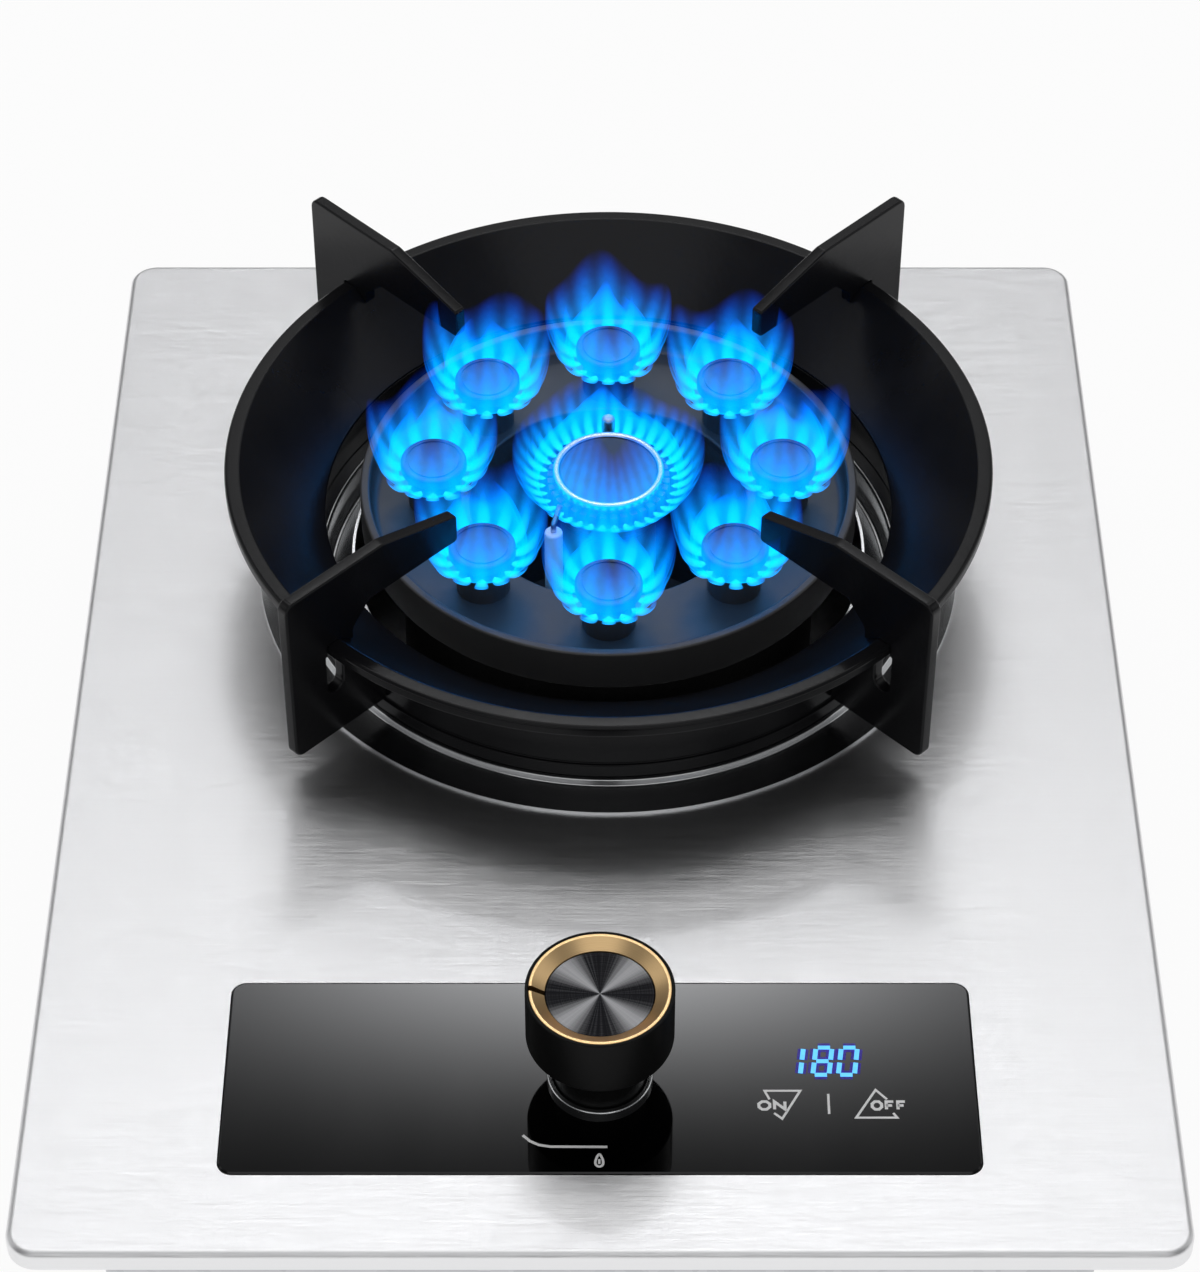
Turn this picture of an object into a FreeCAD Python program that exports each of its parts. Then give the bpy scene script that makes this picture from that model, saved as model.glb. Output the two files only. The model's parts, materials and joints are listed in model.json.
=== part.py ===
import FreeCAD
import Part
import math
import os

# Portable single-burner gas stove. Millimetres, +Z up, front (the knob) at -Y.
# The origin is on the table, under the middle of the top panel.

# Top panel, a folded tray of stainless sheet
panel_width = 320.0
panel_depth = 415.0
panel_sheet = 1.0
panel_lip = 6.5
panel_corner = 8.5
panel_bend = 2.0

# Bottom case and feet
foot_height = 8.0
foot_radius = 11.0
foot_taper = 1.0
foot_stem_radius = 3.0
foot_head_radius = 4.2
foot_head_height = 2.5
foot_inset = 24.0
case_height = 69.0
case_wall = 1.0
case_corner = 10.0
case_side_inset = 22.0
case_rear_inset = 22.0
vent_length = 44.0
vent_width = 5.0
vent_pitch = 12.0
vent_count = 5
seal_width = 8.0
seal_height = 4.0
seal_inset = 3.0

# Fasteners and fits
screw_radius = 2.0
screw_length = 8.0
screw_head_radius = 3.8
screw_head_height = 2.6
fit_gap = 0.1
running_gap = 0.05
loose_gap = 0.3
bracket_sheet = 1.5
corner_bracket_width = 20.0
corner_bracket_leg = 18.0
corner_bracket_from_end = 50.0
corner_bracket_from_carrier = 3.0

# Control glass, its carrier and the timer behind it
glass_width = 208.6
glass_depth = 67.4
glass_thickness = 4.0
glass_corner = 4.0
glass_proud = 0.5
glass_bevel = 0.4
glass_front_margin = 27.0
glass_gap = 0.35
carrier_margin = 9.0
carrier_to_case = 1.0
carrier_floor = 2.0
display_from_right = 40.9
display_y_from_knob = 5.6
display_width = 24.0
display_depth = 15.0
board_width = 52.0
board_depth = 44.0
board_thickness = 1.6

# Knob
knob_radius = 20.5
knob_top = 38.3
knob_head_height = 19.4
knob_rim = 0.9
knob_edge_round = 0.4
knob_neck_radius = 13.0
knob_neck_drop = 5.0
knob_neck_gap = 0.5
knob_bore_depth = 28.0
bevel_inner_radius = 15.1
bevel_drop = 2.2
bevel_depth = 4.5
disc_below_bevel = 0.2
notch_width = 1.7
base_ring_width = 1.3
base_ring_height = 2.0
base_ring_round = 0.4

# Gas valve under the knob
push_travel = 3.0
stem_radius = 3.0
stem_flat = 2.2
stem_in_plug = 12.0
stem_in_knob = 26.0
collar_radius = 6.4
collar_height = 1.5
collar_below_neck = 2.0
spring_wire = 1.0
spring_radius = 5.0
spring_turns = 5
plug_radius = 10.0
plug_height = 24.0
plug_end_gap = 0.3
plug_port_radius = 3.0
valve_width = 40.0
valve_depth = 44.0
valve_height = 30.0
valve_low = 26.0
valve_cover_sheet = 2.0
valve_bracket_width = 22.0
valve_screw_offset = 15.0
manifold_depth = 14.0
manifold_half_height = 9.0
magnet_radius = 8.0
magnet_length = 28.0
switch_width = 9.0
switch_depth = 20.0
valve_inlet_below = 6.0

# Burner position and its shared heights above the panel
burner_x = 2.6
burner_y = 62.0
mixer_z = 46.0
mixer_spacing = 34.0

# Drip tray
tray_sheet = 0.8
tray_radius = 109.8
tray_land_height = 2.6
tray_step = 0.8
tray_bowl_depth = 8.0
tray_bowl_width = 9.0
tray_round = 1.2
tray_collar_height = 6.0
tray_hole_gap = 0.6
tray_to_dish = 2.8
tray_to_skirt = 0.9

# Wind shield: funnel, skirt and fins
rim_radius = 118.2
rim_height = 45.6
rim_width = 4.5
rim_drop = 4.0
rim_round = 0.8
lip_radius = 87.6
lip_height = 25.2
funnel_sheet = 3.0
skirt_radius = 96.5
skirt_sheet = 2.0
hem_height = 5.2
hem_proud = 0.9
fin_count = 4
fin_thickness = 4.0
fin_outer_radius = 133.0
fin_top = 71.0
fin_foot = 8.5
fin_flat_inner_radius = 95.0
fin_tip_top = 63.0
fin_arm_bottom = 53.0
fin_arm_root_radius = 101.0
fin_root_radius = 108.0
fin_root_drop = 7.0
fin_chamfer = 2.5
fin_tip_chamfer = 1.2
fin_slot_radius = 116.0
fin_slot_width = 6.0
fin_slot_foot = 26.0
cap_to_fin = 1.3

# Outer burner
dish_radius = 77.0
dish_wall = 3.0
dish_rim = 34.0
dish_floor_top = 25.0
dish_floor = 3.0
dish_skirt_drop = 2.0
cup_count = 8
cup_pitch_radius = 54.0
cup_radius = 8.2
cup_bore = 5.4
cup_height = 13.6
cup_port_count = 14
cup_port_width = 1.6
cup_port_height = 3.0
cap_radius = 10.2
cap_height = 3.6
cap_spigot = 4.0
cap_round = 0.7
cap_groove_radius = 8.6
cap_groove_width = 0.7
cap_groove_depth = 0.4

# Centre burner
column_radius = 15.0
column_wall = 4.0
column_top = 21.0
head_radius = 19.0
head_foot = 6.0
head_height = 14.0
head_bore = 11.0
head_port_count = 36
head_port_width = 1.0
head_port_height = 3.0
centre_cap_radius = 17.2
centre_shoulder = 1.2
centre_disc_height = 2.9
centre_ring_width = 2.0
centre_ring_height = 2.4
centre_ring_round = 0.5
centre_spigot = 5.0

# Burner base casting under both burners
base_low = 30.0
base_floor = 3.0
trough_wall = 3.0
trough_half_width = 8.0
air_hole_radius = 9.0
air_hole_pitch = 31.0
air_hole_angles = (0.0, 150.0, 300.0)
strap_sheet = 2.0
strap_half_length = 62.0
strap_width = 30.0
strap_foot = 14.0
strap_screw_offset = 54.0

# Mixing tubes, injectors and air shutters
tube_radius = 10.0
tube_wall = 1.5
mouth_radius = 14.0
mouth_flange = 2.0
outer_tube_reach = 45.0
injector_radius = 6.5
injector_length = 18.0
nose_radius = 4.5
nose_length = 4.5
nose_bore = 0.6
shutter_sheet = 1.5
shutter_radius = 13.5
shutter_hole_radius = 2.6
shutter_hole_pitch = 9.2
shutter_hole_count = 4
shutter_lever = 11.0
shutter_lever_width = 6.0

# Electrode and flame sensor
electrode_dx = -16.8
electrode_dy = -23.5
ceramic_radius = 2.8
ceramic_collar_radius = 4.6
ceramic_collar_height = 4.0
ceramic_top = 34.0
ceramic_below = 2.0
ceramic_round = 0.9
needle_radius = 0.9
needle_rise = 8.0
needle_straight = 2.7
needle_bend = 1.8
needle_lean = 3.5
sensor_dy = 22.8
sensor_radius = 2.1
sensor_top = 39.5
sensor_round = 1.0

# Gas inlet at the back left
inlet_from_side = 33.0
inlet_body_radius = 9.0
inlet_flange_radius = 13.0
inlet_flange = 3.0
inlet_body_inside = 12.0
nipple_radius = 4.75
nipple_length = 17.0
nipple_bore = 3.0
nipple_groove = 0.6
nipple_groove_width = 1.2
nipple_groove_count = 3
pipe_radius = 5.0
pipe_wall = 1.0
pipe_bend = 28.0

# Igniter, battery and leads
igniter_length = 60.0
igniter_depth = 42.0
igniter_height = 24.0
igniter_from_wall = 5.0
igniter_y = -39.0
battery_radius = 17.1
battery_length = 61.5
battery_cap_radius = 4.7
battery_cap_height = 1.5
battery_y = -109.0
battery_wall = 2.0
battery_base = 8.0
door_sheet = 2.5
door_margin = 5.0
door_knuckle_radius = 3.0
door_knuckle_length = 19.0
door_pin_radius = 1.5
door_ear_width = 6.0
door_lift = 0.6
lead_radius = 2.0
sensor_lead_radius = 1.5
lead_bend = 7.0
lead_z = 20.0
sensor_lead_z = 15.0
sensor_lead_turn_y = -70.0
sensor_lead_beyond_magnet = 10.0

# Places that follow from the sizes above
panel_top = foot_height + case_height + panel_sheet
case_top = panel_top - panel_sheet
case_floor = foot_height + case_wall
case_right = panel_width / 2 - case_side_inset
glass_front = -panel_depth / 2 + glass_front_margin
case_front = glass_front - carrier_margin - carrier_to_case - case_wall
case_back = panel_depth / 2 - case_rear_inset
case_y = (case_front + case_back) / 2
knob_y = glass_front + glass_depth / 2
glass_top = panel_top + glass_proud
glass_low = glass_top - glass_thickness
carrier_low = glass_low - carrier_floor
display_x = glass_width / 2 - display_from_right
carrier_back = glass_front + glass_depth + carrier_margin
neck_low = panel_top - knob_neck_drop
collar_low = neck_low - collar_below_neck - collar_height
valve_top = valve_low + valve_height
valve_back = knob_y + valve_depth / 2
plug_low = valve_top - plug_height - 2 * valve_cover_sheet
plug_top = plug_low + plug_height
cover_top = valve_top + valve_cover_sheet
inner_mixer_x = burner_x
outer_mixer_x = burner_x - mixer_spacing
manifold_back = valve_back + manifold_depth
shoulder_y = manifold_back + injector_length
shutter_y = shoulder_y + loose_gap
mouth_y = shutter_y + shutter_sheet + loose_gap
inlet_x = inlet_from_side - case_right
inlet_z = mixer_z - valve_inlet_below
funnel_angle = math.atan2(rim_height - lip_height, rim_radius - rim_width - lip_radius)
tray_collar_radius = dish_radius + tray_to_dish + tray_sheet
tray_bowl_radius = tray_collar_radius + tray_bowl_width
tray_land_inner = tray_bowl_radius + tray_round
tray_land_outer = skirt_radius + hem_proud + tray_to_skirt
panel_hole_radius = tray_bowl_radius + tray_sheet + tray_hole_gap
cup_top = dish_floor_top + cup_height
fin_tip_radius = cup_pitch_radius + cap_radius + cap_to_fin
head_top = column_top + head_height
dish_seat = panel_top + dish_floor_top - dish_floor
trough_inner = cup_pitch_radius - trough_half_width
trough_outer = cup_pitch_radius + trough_half_width
base_radius = trough_outer + trough_wall
dish_inner_radius = trough_inner - trough_wall
strap_top = base_low
battery_low = case_floor + battery_base
battery_z = battery_low + battery_radius + loose_gap
battery_half = battery_radius + loose_gap
battery_inner_x = case_right - case_wall - battery_length - battery_cap_height - loose_gap
door_x = case_right + loose_gap
door_pin_x = door_x + door_knuckle_radius + loose_gap
door_pin_z = battery_low - door_margin
igniter_x = case_right - case_wall - igniter_from_wall - igniter_length / 2
electrode_x = burner_x + electrode_dx
electrode_y = burner_y + electrode_dy
sensor_y = burner_y + sensor_dy


def vec(x, y, z):
    return FreeCAD.Vector(x, y, z)


def block(x0, x1, y0, y1, z0, z1):
    """Box between two corners."""
    return Part.makeBox(x1 - x0, y1 - y0, z1 - z0, vec(x0, y0, z0))


def rod(radius, z0, z1, x=0.0, y=0.0):
    """Upright cylinder."""
    return Part.makeCylinder(radius, z1 - z0, vec(x, y, z0))


def rod_x(radius, x0, x1, y, z):
    """Cylinder along X."""
    return Part.makeCylinder(radius, x1 - x0, vec(x0, y, z), vec(1, 0, 0))


def rod_y(radius, y0, y1, x, z):
    """Cylinder along Y."""
    return Part.makeCylinder(radius, y1 - y0, vec(x, y0, z), vec(0, 1, 0))


def outline_face(points):
    """Plane face inside a closed run of straight edges."""
    return Part.Face(Part.makePolygon(list(points) + [points[0]]))


def spun(profile, x=0.0, y=0.0, z=0.0):
    """Turned piece: a closed (radius, height) outline turned about Z."""
    face = outline_face([vec(r, 0, h) for r, h in profile])
    solid = face.revolve(vec(0, 0, 0), vec(0, 0, 1), 360)
    solid.translate(vec(x, y, z))
    return solid


def spun_y(profile, x, z):
    """Turned piece: a closed (radius, y) outline turned about an axis along Y."""
    face = outline_face([vec(r, y, 0) for r, y in profile])
    solid = face.revolve(vec(0, 0, 0), vec(0, 1, 0), 360)
    solid.translate(vec(x, 0, z))
    return solid


def at_burner(profile):
    """Turned piece on the burner axis, with heights above the panel."""
    return spun(profile, burner_x, burner_y, panel_top)


def edges_at(shape, z):
    """Edges that lie in the level plane z."""
    return [e for e in shape.Edges if max(abs(v.Z - z) for v in e.Vertexes) < 1e-6]


def upright_edges(shape):
    """Straight edges parallel to Z."""
    return [e for e in shape.Edges if abs(abs(e.tangentAt(e.FirstParameter).z) - 1) < 1e-6]


def slab(width, depth, corner, z0, z1, x=0.0, y=0.0):
    """Plate with round corners, centred on x, y."""
    plate = block(x - width / 2, x + width / 2, y - depth / 2, y + depth / 2, z0, z1)
    return plate.makeFillet(corner, upright_edges(plate))


def sheet_outline(path, thickness):
    """Closed outline of a bent sheet: the path and its parallel on the right-hand side."""
    normals = []
    for (ax, ay), (bx, by) in zip(path[:-1], path[1:]):
        length = math.hypot(bx - ax, by - ay)
        normals.append(((by - ay) / length, (ax - bx) / length))
    ends = [normals[0]] + normals + [normals[-1]]
    other = []
    for (px, py), (ax, ay), (bx, by) in zip(path, ends[:-1], ends[1:]):
        share = thickness / (1 + ax * bx + ay * by)
        other.append((px + share * (ax + bx), py + share * (ay + by)))
    return list(path) + other[::-1]


def swept(points, radius, bend):
    """Round bar along straight runs joined by tangent arcs."""
    edges = []
    start = points[0]
    for corner, after in zip(points[1:-1], points[2:]):
        into = (corner - start).normalize()
        out = (after - corner).normalize()
        half = into.getAngle(out) / 2
        reach = bend * math.tan(half)
        first = corner - into * reach
        last = corner + out * reach
        inward = (out - into).normalize()
        middle = corner + inward * (bend / math.cos(half) - bend)
        edges.append(Part.LineSegment(start, first).toShape())
        edges.append(Part.Arc(first, middle, last).toShape())
        start = last
    edges.append(Part.LineSegment(start, points[-1]).toShape())
    circle = Part.Circle(points[0], points[1] - points[0], radius).toShape()
    return Part.Wire(edges).makePipeShell([Part.Wire(circle)], True, False)


def around(count, start=0.0):
    """Angles of evenly spaced copies, in degrees."""
    return [start + 360.0 * i / count for i in range(count)]


def turned(shape, angle, x, y):
    """Copy turned about the upright line through x, y."""
    copy = shape.copy()
    copy.rotate(vec(x, y, 0), vec(0, 0, 1), angle)
    return copy


def funnel_under(radius):
    """Height of the funnel's underside at a radius, above the panel."""
    low_r = lip_radius + funnel_sheet * math.sin(funnel_angle)
    low_h = lip_height - funnel_sheet * math.cos(funnel_angle)
    return low_h + (radius - low_r) * math.tan(funnel_angle)


def funnel_middle(radius):
    """Height of the middle of the funnel's sheet at a radius, above the panel."""
    inner = lip_height + (radius - lip_radius) * math.tan(funnel_angle)
    return (inner + funnel_under(radius)) / 2


def top_panel():
    low = panel_top - panel_lip
    shell = slab(panel_width, panel_depth, panel_corner, low, panel_top)
    shell = shell.makeFillet(panel_bend, edges_at(shell, panel_top))
    inside = 2 * panel_sheet
    core = slab(panel_width - inside, panel_depth - inside, panel_corner - panel_sheet, low, case_top)
    core = core.makeFillet(panel_bend - panel_sheet, edges_at(core, case_top))
    shell = shell.cut(core)
    shell = shell.cut(rod(panel_hole_radius, low, panel_top, burner_x, burner_y))
    room = 2 * glass_gap
    hole = slab(glass_width + room, glass_depth + room, glass_corner + glass_gap, low, panel_top, 0, knob_y)
    return shell.cut(hole)


def panel_seal():
    width = panel_width - 2 * (panel_sheet + seal_inset)
    depth = panel_depth - 2 * (panel_sheet + seal_inset)
    low = case_top - seal_height
    outer = slab(width, depth, panel_corner, low, case_top)
    inner = slab(width - 2 * seal_width, depth - 2 * seal_width, panel_corner, low, case_top)
    return outer.cut(inner)


def foot_places():
    x = case_right - foot_inset
    return [(side * x, y) for side in (-1, 1) for y in (case_front + foot_inset, case_back - foot_inset)]


def corner_bracket_places():
    front = carrier_back + corner_bracket_from_carrier + corner_bracket_width / 2
    ends = (front, case_back - corner_bracket_from_end)
    return [(side, y) for side in (-1, 1) for y in ends]


def bottom_case():
    width = 2 * case_right
    depth = case_back - case_front
    shell = slab(width, depth, case_corner, foot_height, case_top, 0, case_y)
    inside = 2 * case_wall
    core = slab(width - inside, depth - inside, case_corner - case_wall, case_floor, case_top, 0, case_y)
    shell = shell.cut(core)
    for x, y in foot_places():
        shell = shell.cut(rod(foot_stem_radius + fit_gap, foot_height, case_floor, x, y))
    for i in range(vent_count):
        y = burner_y + (i - (vent_count - 1) / 2) * vent_pitch
        half = vent_length / 2
        vent = block(burner_x - half, burner_x + half, y - vent_width / 2, y + vent_width / 2, 0, case_floor)
        shell = shell.cut(vent)
    for side, y in corner_bracket_places():
        x = side * case_right
        hole = rod_x(screw_radius + fit_gap, x - 2 * case_wall, x + 2 * case_wall, y, corner_screw_z())
        shell = shell.cut(hole)
    inlet_hole = inlet_body_radius + fit_gap
    shell = shell.cut(rod_y(inlet_hole, case_back - 2 * case_wall, case_back, inlet_x, inlet_z))
    door_hole = block(case_right - 2 * case_wall, case_right, battery_y - battery_half,
                      battery_y + battery_half, battery_low, battery_low + 2 * battery_half)
    shell = shell.cut(door_hole)
    return shell.fuse(door_ears())


def door_ears():
    """Two round-ended ears on the case wall that carry the battery door's pivots."""
    inner = door_knuckle_length / 2 + loose_gap
    ears = []
    for low in (battery_y - inner - door_ear_width, battery_y + inner):
        high = low + door_ear_width
        ear = rod_y(door_knuckle_radius, low, high, door_pin_x, door_pin_z)
        arm = block(case_right, door_pin_x, low, high, door_pin_z - door_knuckle_radius, door_pin_z)
        ear = ear.fuse(arm)
        bore = rod_y(door_pin_radius + running_gap, low, high, door_pin_x, door_pin_z)
        ears.append(ear.cut(bore))
    return ears


def rubber_feet():
    profile = [(0, 0), (foot_radius - foot_taper, 0), (foot_radius, foot_height)]
    profile += [(foot_stem_radius, foot_height), (foot_stem_radius, case_floor)]
    profile += [(foot_head_radius, case_floor), (foot_stem_radius, case_floor + foot_head_height)]
    profile += [(0, case_floor + foot_head_height)]
    return Part.makeCompound([spun(profile, x, y) for x, y in foot_places()])


def corner_screw_z():
    return case_top - corner_bracket_leg / 2


def corner_brackets():
    """Angles spot-welded under the panel, each tapped for one case screw."""
    angles = []
    for side, y in corner_bracket_places():
        wall = case_right - case_wall
        leg = corner_bracket_leg
        path = [(wall, case_top - leg), (wall, case_top), (wall - leg, case_top)]
        section = sheet_outline([(-x, z) for x, z in path], bracket_sheet)
        face = outline_face([vec(-side * x, y - corner_bracket_width / 2, z) for x, z in section])
        angle = face.extrude(vec(0, corner_bracket_width, 0))
        hole = rod_x(screw_radius + fit_gap, -case_right, case_right, y, corner_screw_z())
        angles.append(angle.cut(hole))
    return Part.makeCompound(angles)


def screw(x, y, z, direction):
    """Pan-head screw: the head sits on the given point, the shank runs along the direction."""
    shank = Part.makeCylinder(screw_radius, screw_length, vec(x, y, z), direction)
    head = Part.makeCylinder(screw_head_radius, screw_head_height, vec(x, y, z), direction * -1)
    return head.fuse(shank)


def machine_screws():
    """Identical screws: case to panel, burner to strap, valve cover to body."""
    screws = []
    for side, y in corner_bracket_places():
        screws.append(screw(side * case_right, y, corner_screw_z(), vec(-side, 0, 0)))
    for side in (-1, 1):
        x = burner_x + side * strap_screw_offset
        screws.append(screw(x, burner_y, base_low + base_floor, vec(0, 0, -1)))
        screws.append(screw(side * valve_screw_offset, knob_y - valve_screw_offset, cover_top, vec(0, 0, -1)))
    return Part.makeCompound(screws)


def control_glass():
    glass = slab(glass_width, glass_depth, glass_corner, glass_low, glass_top, 0, knob_y)
    glass = glass.makeChamfer(glass_bevel, edges_at(glass, glass_top))
    return glass.cut(rod(knob_neck_radius + knob_neck_gap, glass_low, glass_top, 0, knob_y))


def control_carrier():
    """Moulded tray glued under the panel; the glass lies in it."""
    margin = 2 * carrier_margin
    width = glass_width + margin
    depth = glass_depth + margin
    tray = slab(width, depth, carrier_margin, carrier_low, case_top, 0, knob_y)
    width = glass_width + 2 * glass_gap
    depth = glass_depth + 2 * glass_gap
    tray = tray.cut(slab(width, depth, glass_corner, glass_low, case_top, 0, knob_y))
    tray = tray.cut(rod(knob_neck_radius + knob_neck_gap, carrier_low, glass_low, 0, knob_y))
    return tray.cut(display_box(fit_gap))


def display_box(grow):
    """Display block behind the glass, or its window when grown."""
    half_w = display_width / 2 + grow
    half_d = display_depth / 2 + grow
    y = knob_y + display_y_from_knob
    return block(display_x - half_w, display_x + half_w, y - half_d, y + half_d, carrier_low, glass_low)


def timer_board():
    half_w = board_width / 2
    half_d = board_depth / 2
    return block(display_x - half_w, display_x + half_w, knob_y - half_d, knob_y + half_d,
                 carrier_low - board_thickness, carrier_low)


def d_bar(radius, flat, z0, z1):
    """Round bar on the knob axis with one flat on its -Y side."""
    bar = rod(radius, z0, z1, 0, knob_y)
    return bar.cut(block(-radius, radius, knob_y - 2 * radius, knob_y - flat, z0, z1))


def knob_notch():
    """Pointer slot, turned to the left as photographed."""
    top = panel_top + knob_top
    half = notch_width / 2
    return block(-knob_radius, -bevel_inner_radius + knob_rim, knob_y - half, knob_y + half,
                 top - bevel_drop, top)


def knob_body():
    top = panel_top + knob_top
    head_low = top - knob_head_height
    head = rod(knob_radius, head_low, top, 0, knob_y)
    head = head.makeFillet(knob_edge_round, edges_at(head, top) + edges_at(head, head_low))
    body = head.fuse(rod(knob_neck_radius, neck_low, head_low, 0, knob_y))
    body = body.cut(rod(knob_radius - knob_rim, top - bevel_depth, top, 0, knob_y))
    bore = d_bar(stem_radius + running_gap, stem_flat + running_gap, neck_low, neck_low + knob_bore_depth)
    return body.cut(bore).cut(knob_notch())


def knob_bevel_ring():
    outer = knob_radius - knob_rim - running_gap
    profile = [(outer, -bevel_depth), (outer, 0), (bevel_inner_radius, -bevel_drop)]
    profile += [(bevel_inner_radius, -bevel_depth)]
    return spun(profile, 0, knob_y, panel_top + knob_top).cut(knob_notch())


def knob_disc():
    floor = panel_top + knob_top - bevel_depth
    top = panel_top + knob_top - bevel_drop - disc_below_bevel
    return rod(bevel_inner_radius - running_gap, floor, top, 0, knob_y)


def knob_base_ring():
    inner = knob_neck_radius + knob_neck_gap
    outer = rod(inner + base_ring_width, glass_top, glass_top + base_ring_height, 0, knob_y)
    ring = outer.makeFillet(base_ring_round, edges_at(outer, glass_top + base_ring_height))
    return ring.cut(rod(inner, glass_top, glass_top + base_ring_height, 0, knob_y))


def valve_stem():
    bar = d_bar(stem_radius, stem_flat, plug_top - stem_in_plug, neck_low + stem_in_knob)
    return bar.fuse(rod(collar_radius, collar_low, collar_low + collar_height, 0, knob_y))


def return_spring():
    """Coil from the plug to the stem's collar, in half turns that rise steadily."""
    low = plug_top + spring_wire / 2 + running_gap
    rise = (collar_low - plug_top - spring_wire - 2 * running_gap) / (2 * spring_turns)
    edges = []
    for i in range(2 * spring_turns):
        side = 1 if i % 2 == 0 else -1
        z = low + i * rise
        first = vec(side * spring_radius, knob_y, z)
        middle = vec(0, knob_y + side * spring_radius, z + rise / 2)
        last = vec(-side * spring_radius, knob_y, z + rise)
        edges.append(Part.Arc(first, middle, last).toShape())
    circle = Part.Circle(vec(spring_radius, knob_y, low), vec(0, 1, 0), spring_wire / 2).toShape()
    return Part.Wire(edges).makePipeShell([Part.Wire(circle)], True, False)


def valve_plug():
    plug = rod(plug_radius - running_gap, plug_low + plug_end_gap, plug_top, 0, knob_y)
    room = stem_in_plug + 2 * push_travel
    plug = plug.cut(d_bar(stem_radius + running_gap, stem_flat + running_gap, plug_top - room, plug_top))
    port_z = plug_low + plug_end_gap + plug_port_radius
    return plug.cut(rod_y(plug_port_radius / 2, knob_y - plug_radius, knob_y + plug_radius, 0, port_z))


def valve_body():
    half_w = valve_width / 2
    half_d = valve_depth / 2
    body = block(-half_w, half_w, knob_y - half_d, valve_back, valve_low, valve_top)
    low_x = outer_mixer_x - manifold_half_height
    high_x = max(inner_mixer_x + manifold_half_height, half_w)
    manifold = block(low_x, high_x, valve_back, manifold_back,
                     mixer_z - manifold_half_height, mixer_z + manifold_half_height)
    body = body.fuse(manifold).cut(rod(plug_radius, plug_low, valve_top, 0, knob_y))
    for side in (-1, 1):
        x = side * valve_screw_offset
        y = knob_y - valve_screw_offset
        body = body.cut(rod(screw_radius + fit_gap, cover_top - screw_length, valve_top, x, y))
    for x in (inner_mixer_x, outer_mixer_x):
        body = body.cut(rod_y(nose_radius, valve_back, manifold_back, x, mixer_z))
    inlet = rod_x(pipe_radius - pipe_wall, -half_w, 0, knob_y, inlet_z)
    return body.cut(inlet)


def valve_cover():
    half_w = valve_width / 2
    half_d = valve_depth / 2
    plate = block(-half_w, half_w, knob_y - half_d, valve_back, valve_top, cover_top)
    plate = plate.cut(rod(collar_radius + loose_gap, valve_top, cover_top, 0, knob_y))
    for side in (-1, 1):
        x = side * valve_screw_offset
        plate = plate.cut(rod(screw_radius + fit_gap, valve_top, cover_top, x, knob_y - valve_screw_offset))
    return plate


def valve_bracket():
    """Bent strap from the case floor up to the valve's underside."""
    half = valve_width / 2
    path = [(-half - strap_foot, case_floor), (-half, case_floor), (-half, valve_low)]
    path += [(half, valve_low), (half, case_floor), (half + strap_foot, case_floor)]
    lifted = [(x, z + strap_sheet if z == case_floor else z) for x, z in path]
    front = knob_y - valve_bracket_width / 2
    face = outline_face([vec(x, front, z) for x, z in sheet_outline(lifted, strap_sheet)])
    return face.extrude(vec(0, valve_bracket_width, 0))


def safety_magnet():
    x = valve_width / 2
    return rod_x(magnet_radius, x, x + magnet_length, knob_y, inlet_z)


def micro_switch():
    """Switch on the valve cover; the pushed collar comes down to its top."""
    top = collar_low - push_travel - loose_gap
    half = switch_depth / 2
    low_x = spring_radius + spring_wire
    return block(low_x, low_x + switch_width, knob_y - half / 2, knob_y + half, cover_top, top)


def inlet_fitting():
    """Brass union through the back wall: flange outside, hose nipple to the back."""
    wall_in = case_back - case_wall
    flange = case_back + inlet_flange
    tip = flange + nipple_length
    profile = [(nipple_bore, wall_in - inlet_body_inside), (inlet_body_radius, wall_in - inlet_body_inside)]
    profile += [(inlet_body_radius, case_back), (inlet_flange_radius, case_back)]
    profile += [(inlet_flange_radius, flange), (nipple_radius, flange), (nipple_radius, tip)]
    profile += [(nipple_bore, tip)]
    fitting = spun_y(profile, inlet_x, inlet_z)
    pitch = nipple_length / (nipple_groove_count + 1)
    for i in range(nipple_groove_count):
        y = flange + (i + 1) * pitch
        groove = [(nipple_radius - nipple_groove, y), (nipple_radius, y - nipple_groove_width / 2)]
        groove += [(nipple_radius, y + nipple_groove_width / 2)]
        fitting = fitting.cut(spun_y(groove, inlet_x, inlet_z))
    return fitting


def inlet_pipe():
    """Tube from the rear union, along the left side, to the valve's left face."""
    y0 = case_back - case_wall - inlet_body_inside
    route = [vec(inlet_x, y0, inlet_z), vec(inlet_x, knob_y, inlet_z), vec(-valve_width / 2, knob_y, inlet_z)]
    tube = swept(route, pipe_radius, pipe_bend)
    return tube.cut(swept(route, pipe_radius - pipe_wall, pipe_bend))


def injectors():
    jets = []
    for x in (inner_mixer_x, outer_mixer_x):
        profile = [(nose_bore, manifold_back), (injector_radius, manifold_back)]
        profile += [(injector_radius, shoulder_y), (nose_radius, shoulder_y)]
        profile += [(nose_radius, shoulder_y + nose_length)]
        profile += [(nose_bore, shoulder_y + nose_length)]
        jets.append(spun_y(profile, x, mixer_z))
    return Part.makeCompound(jets)


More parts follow.
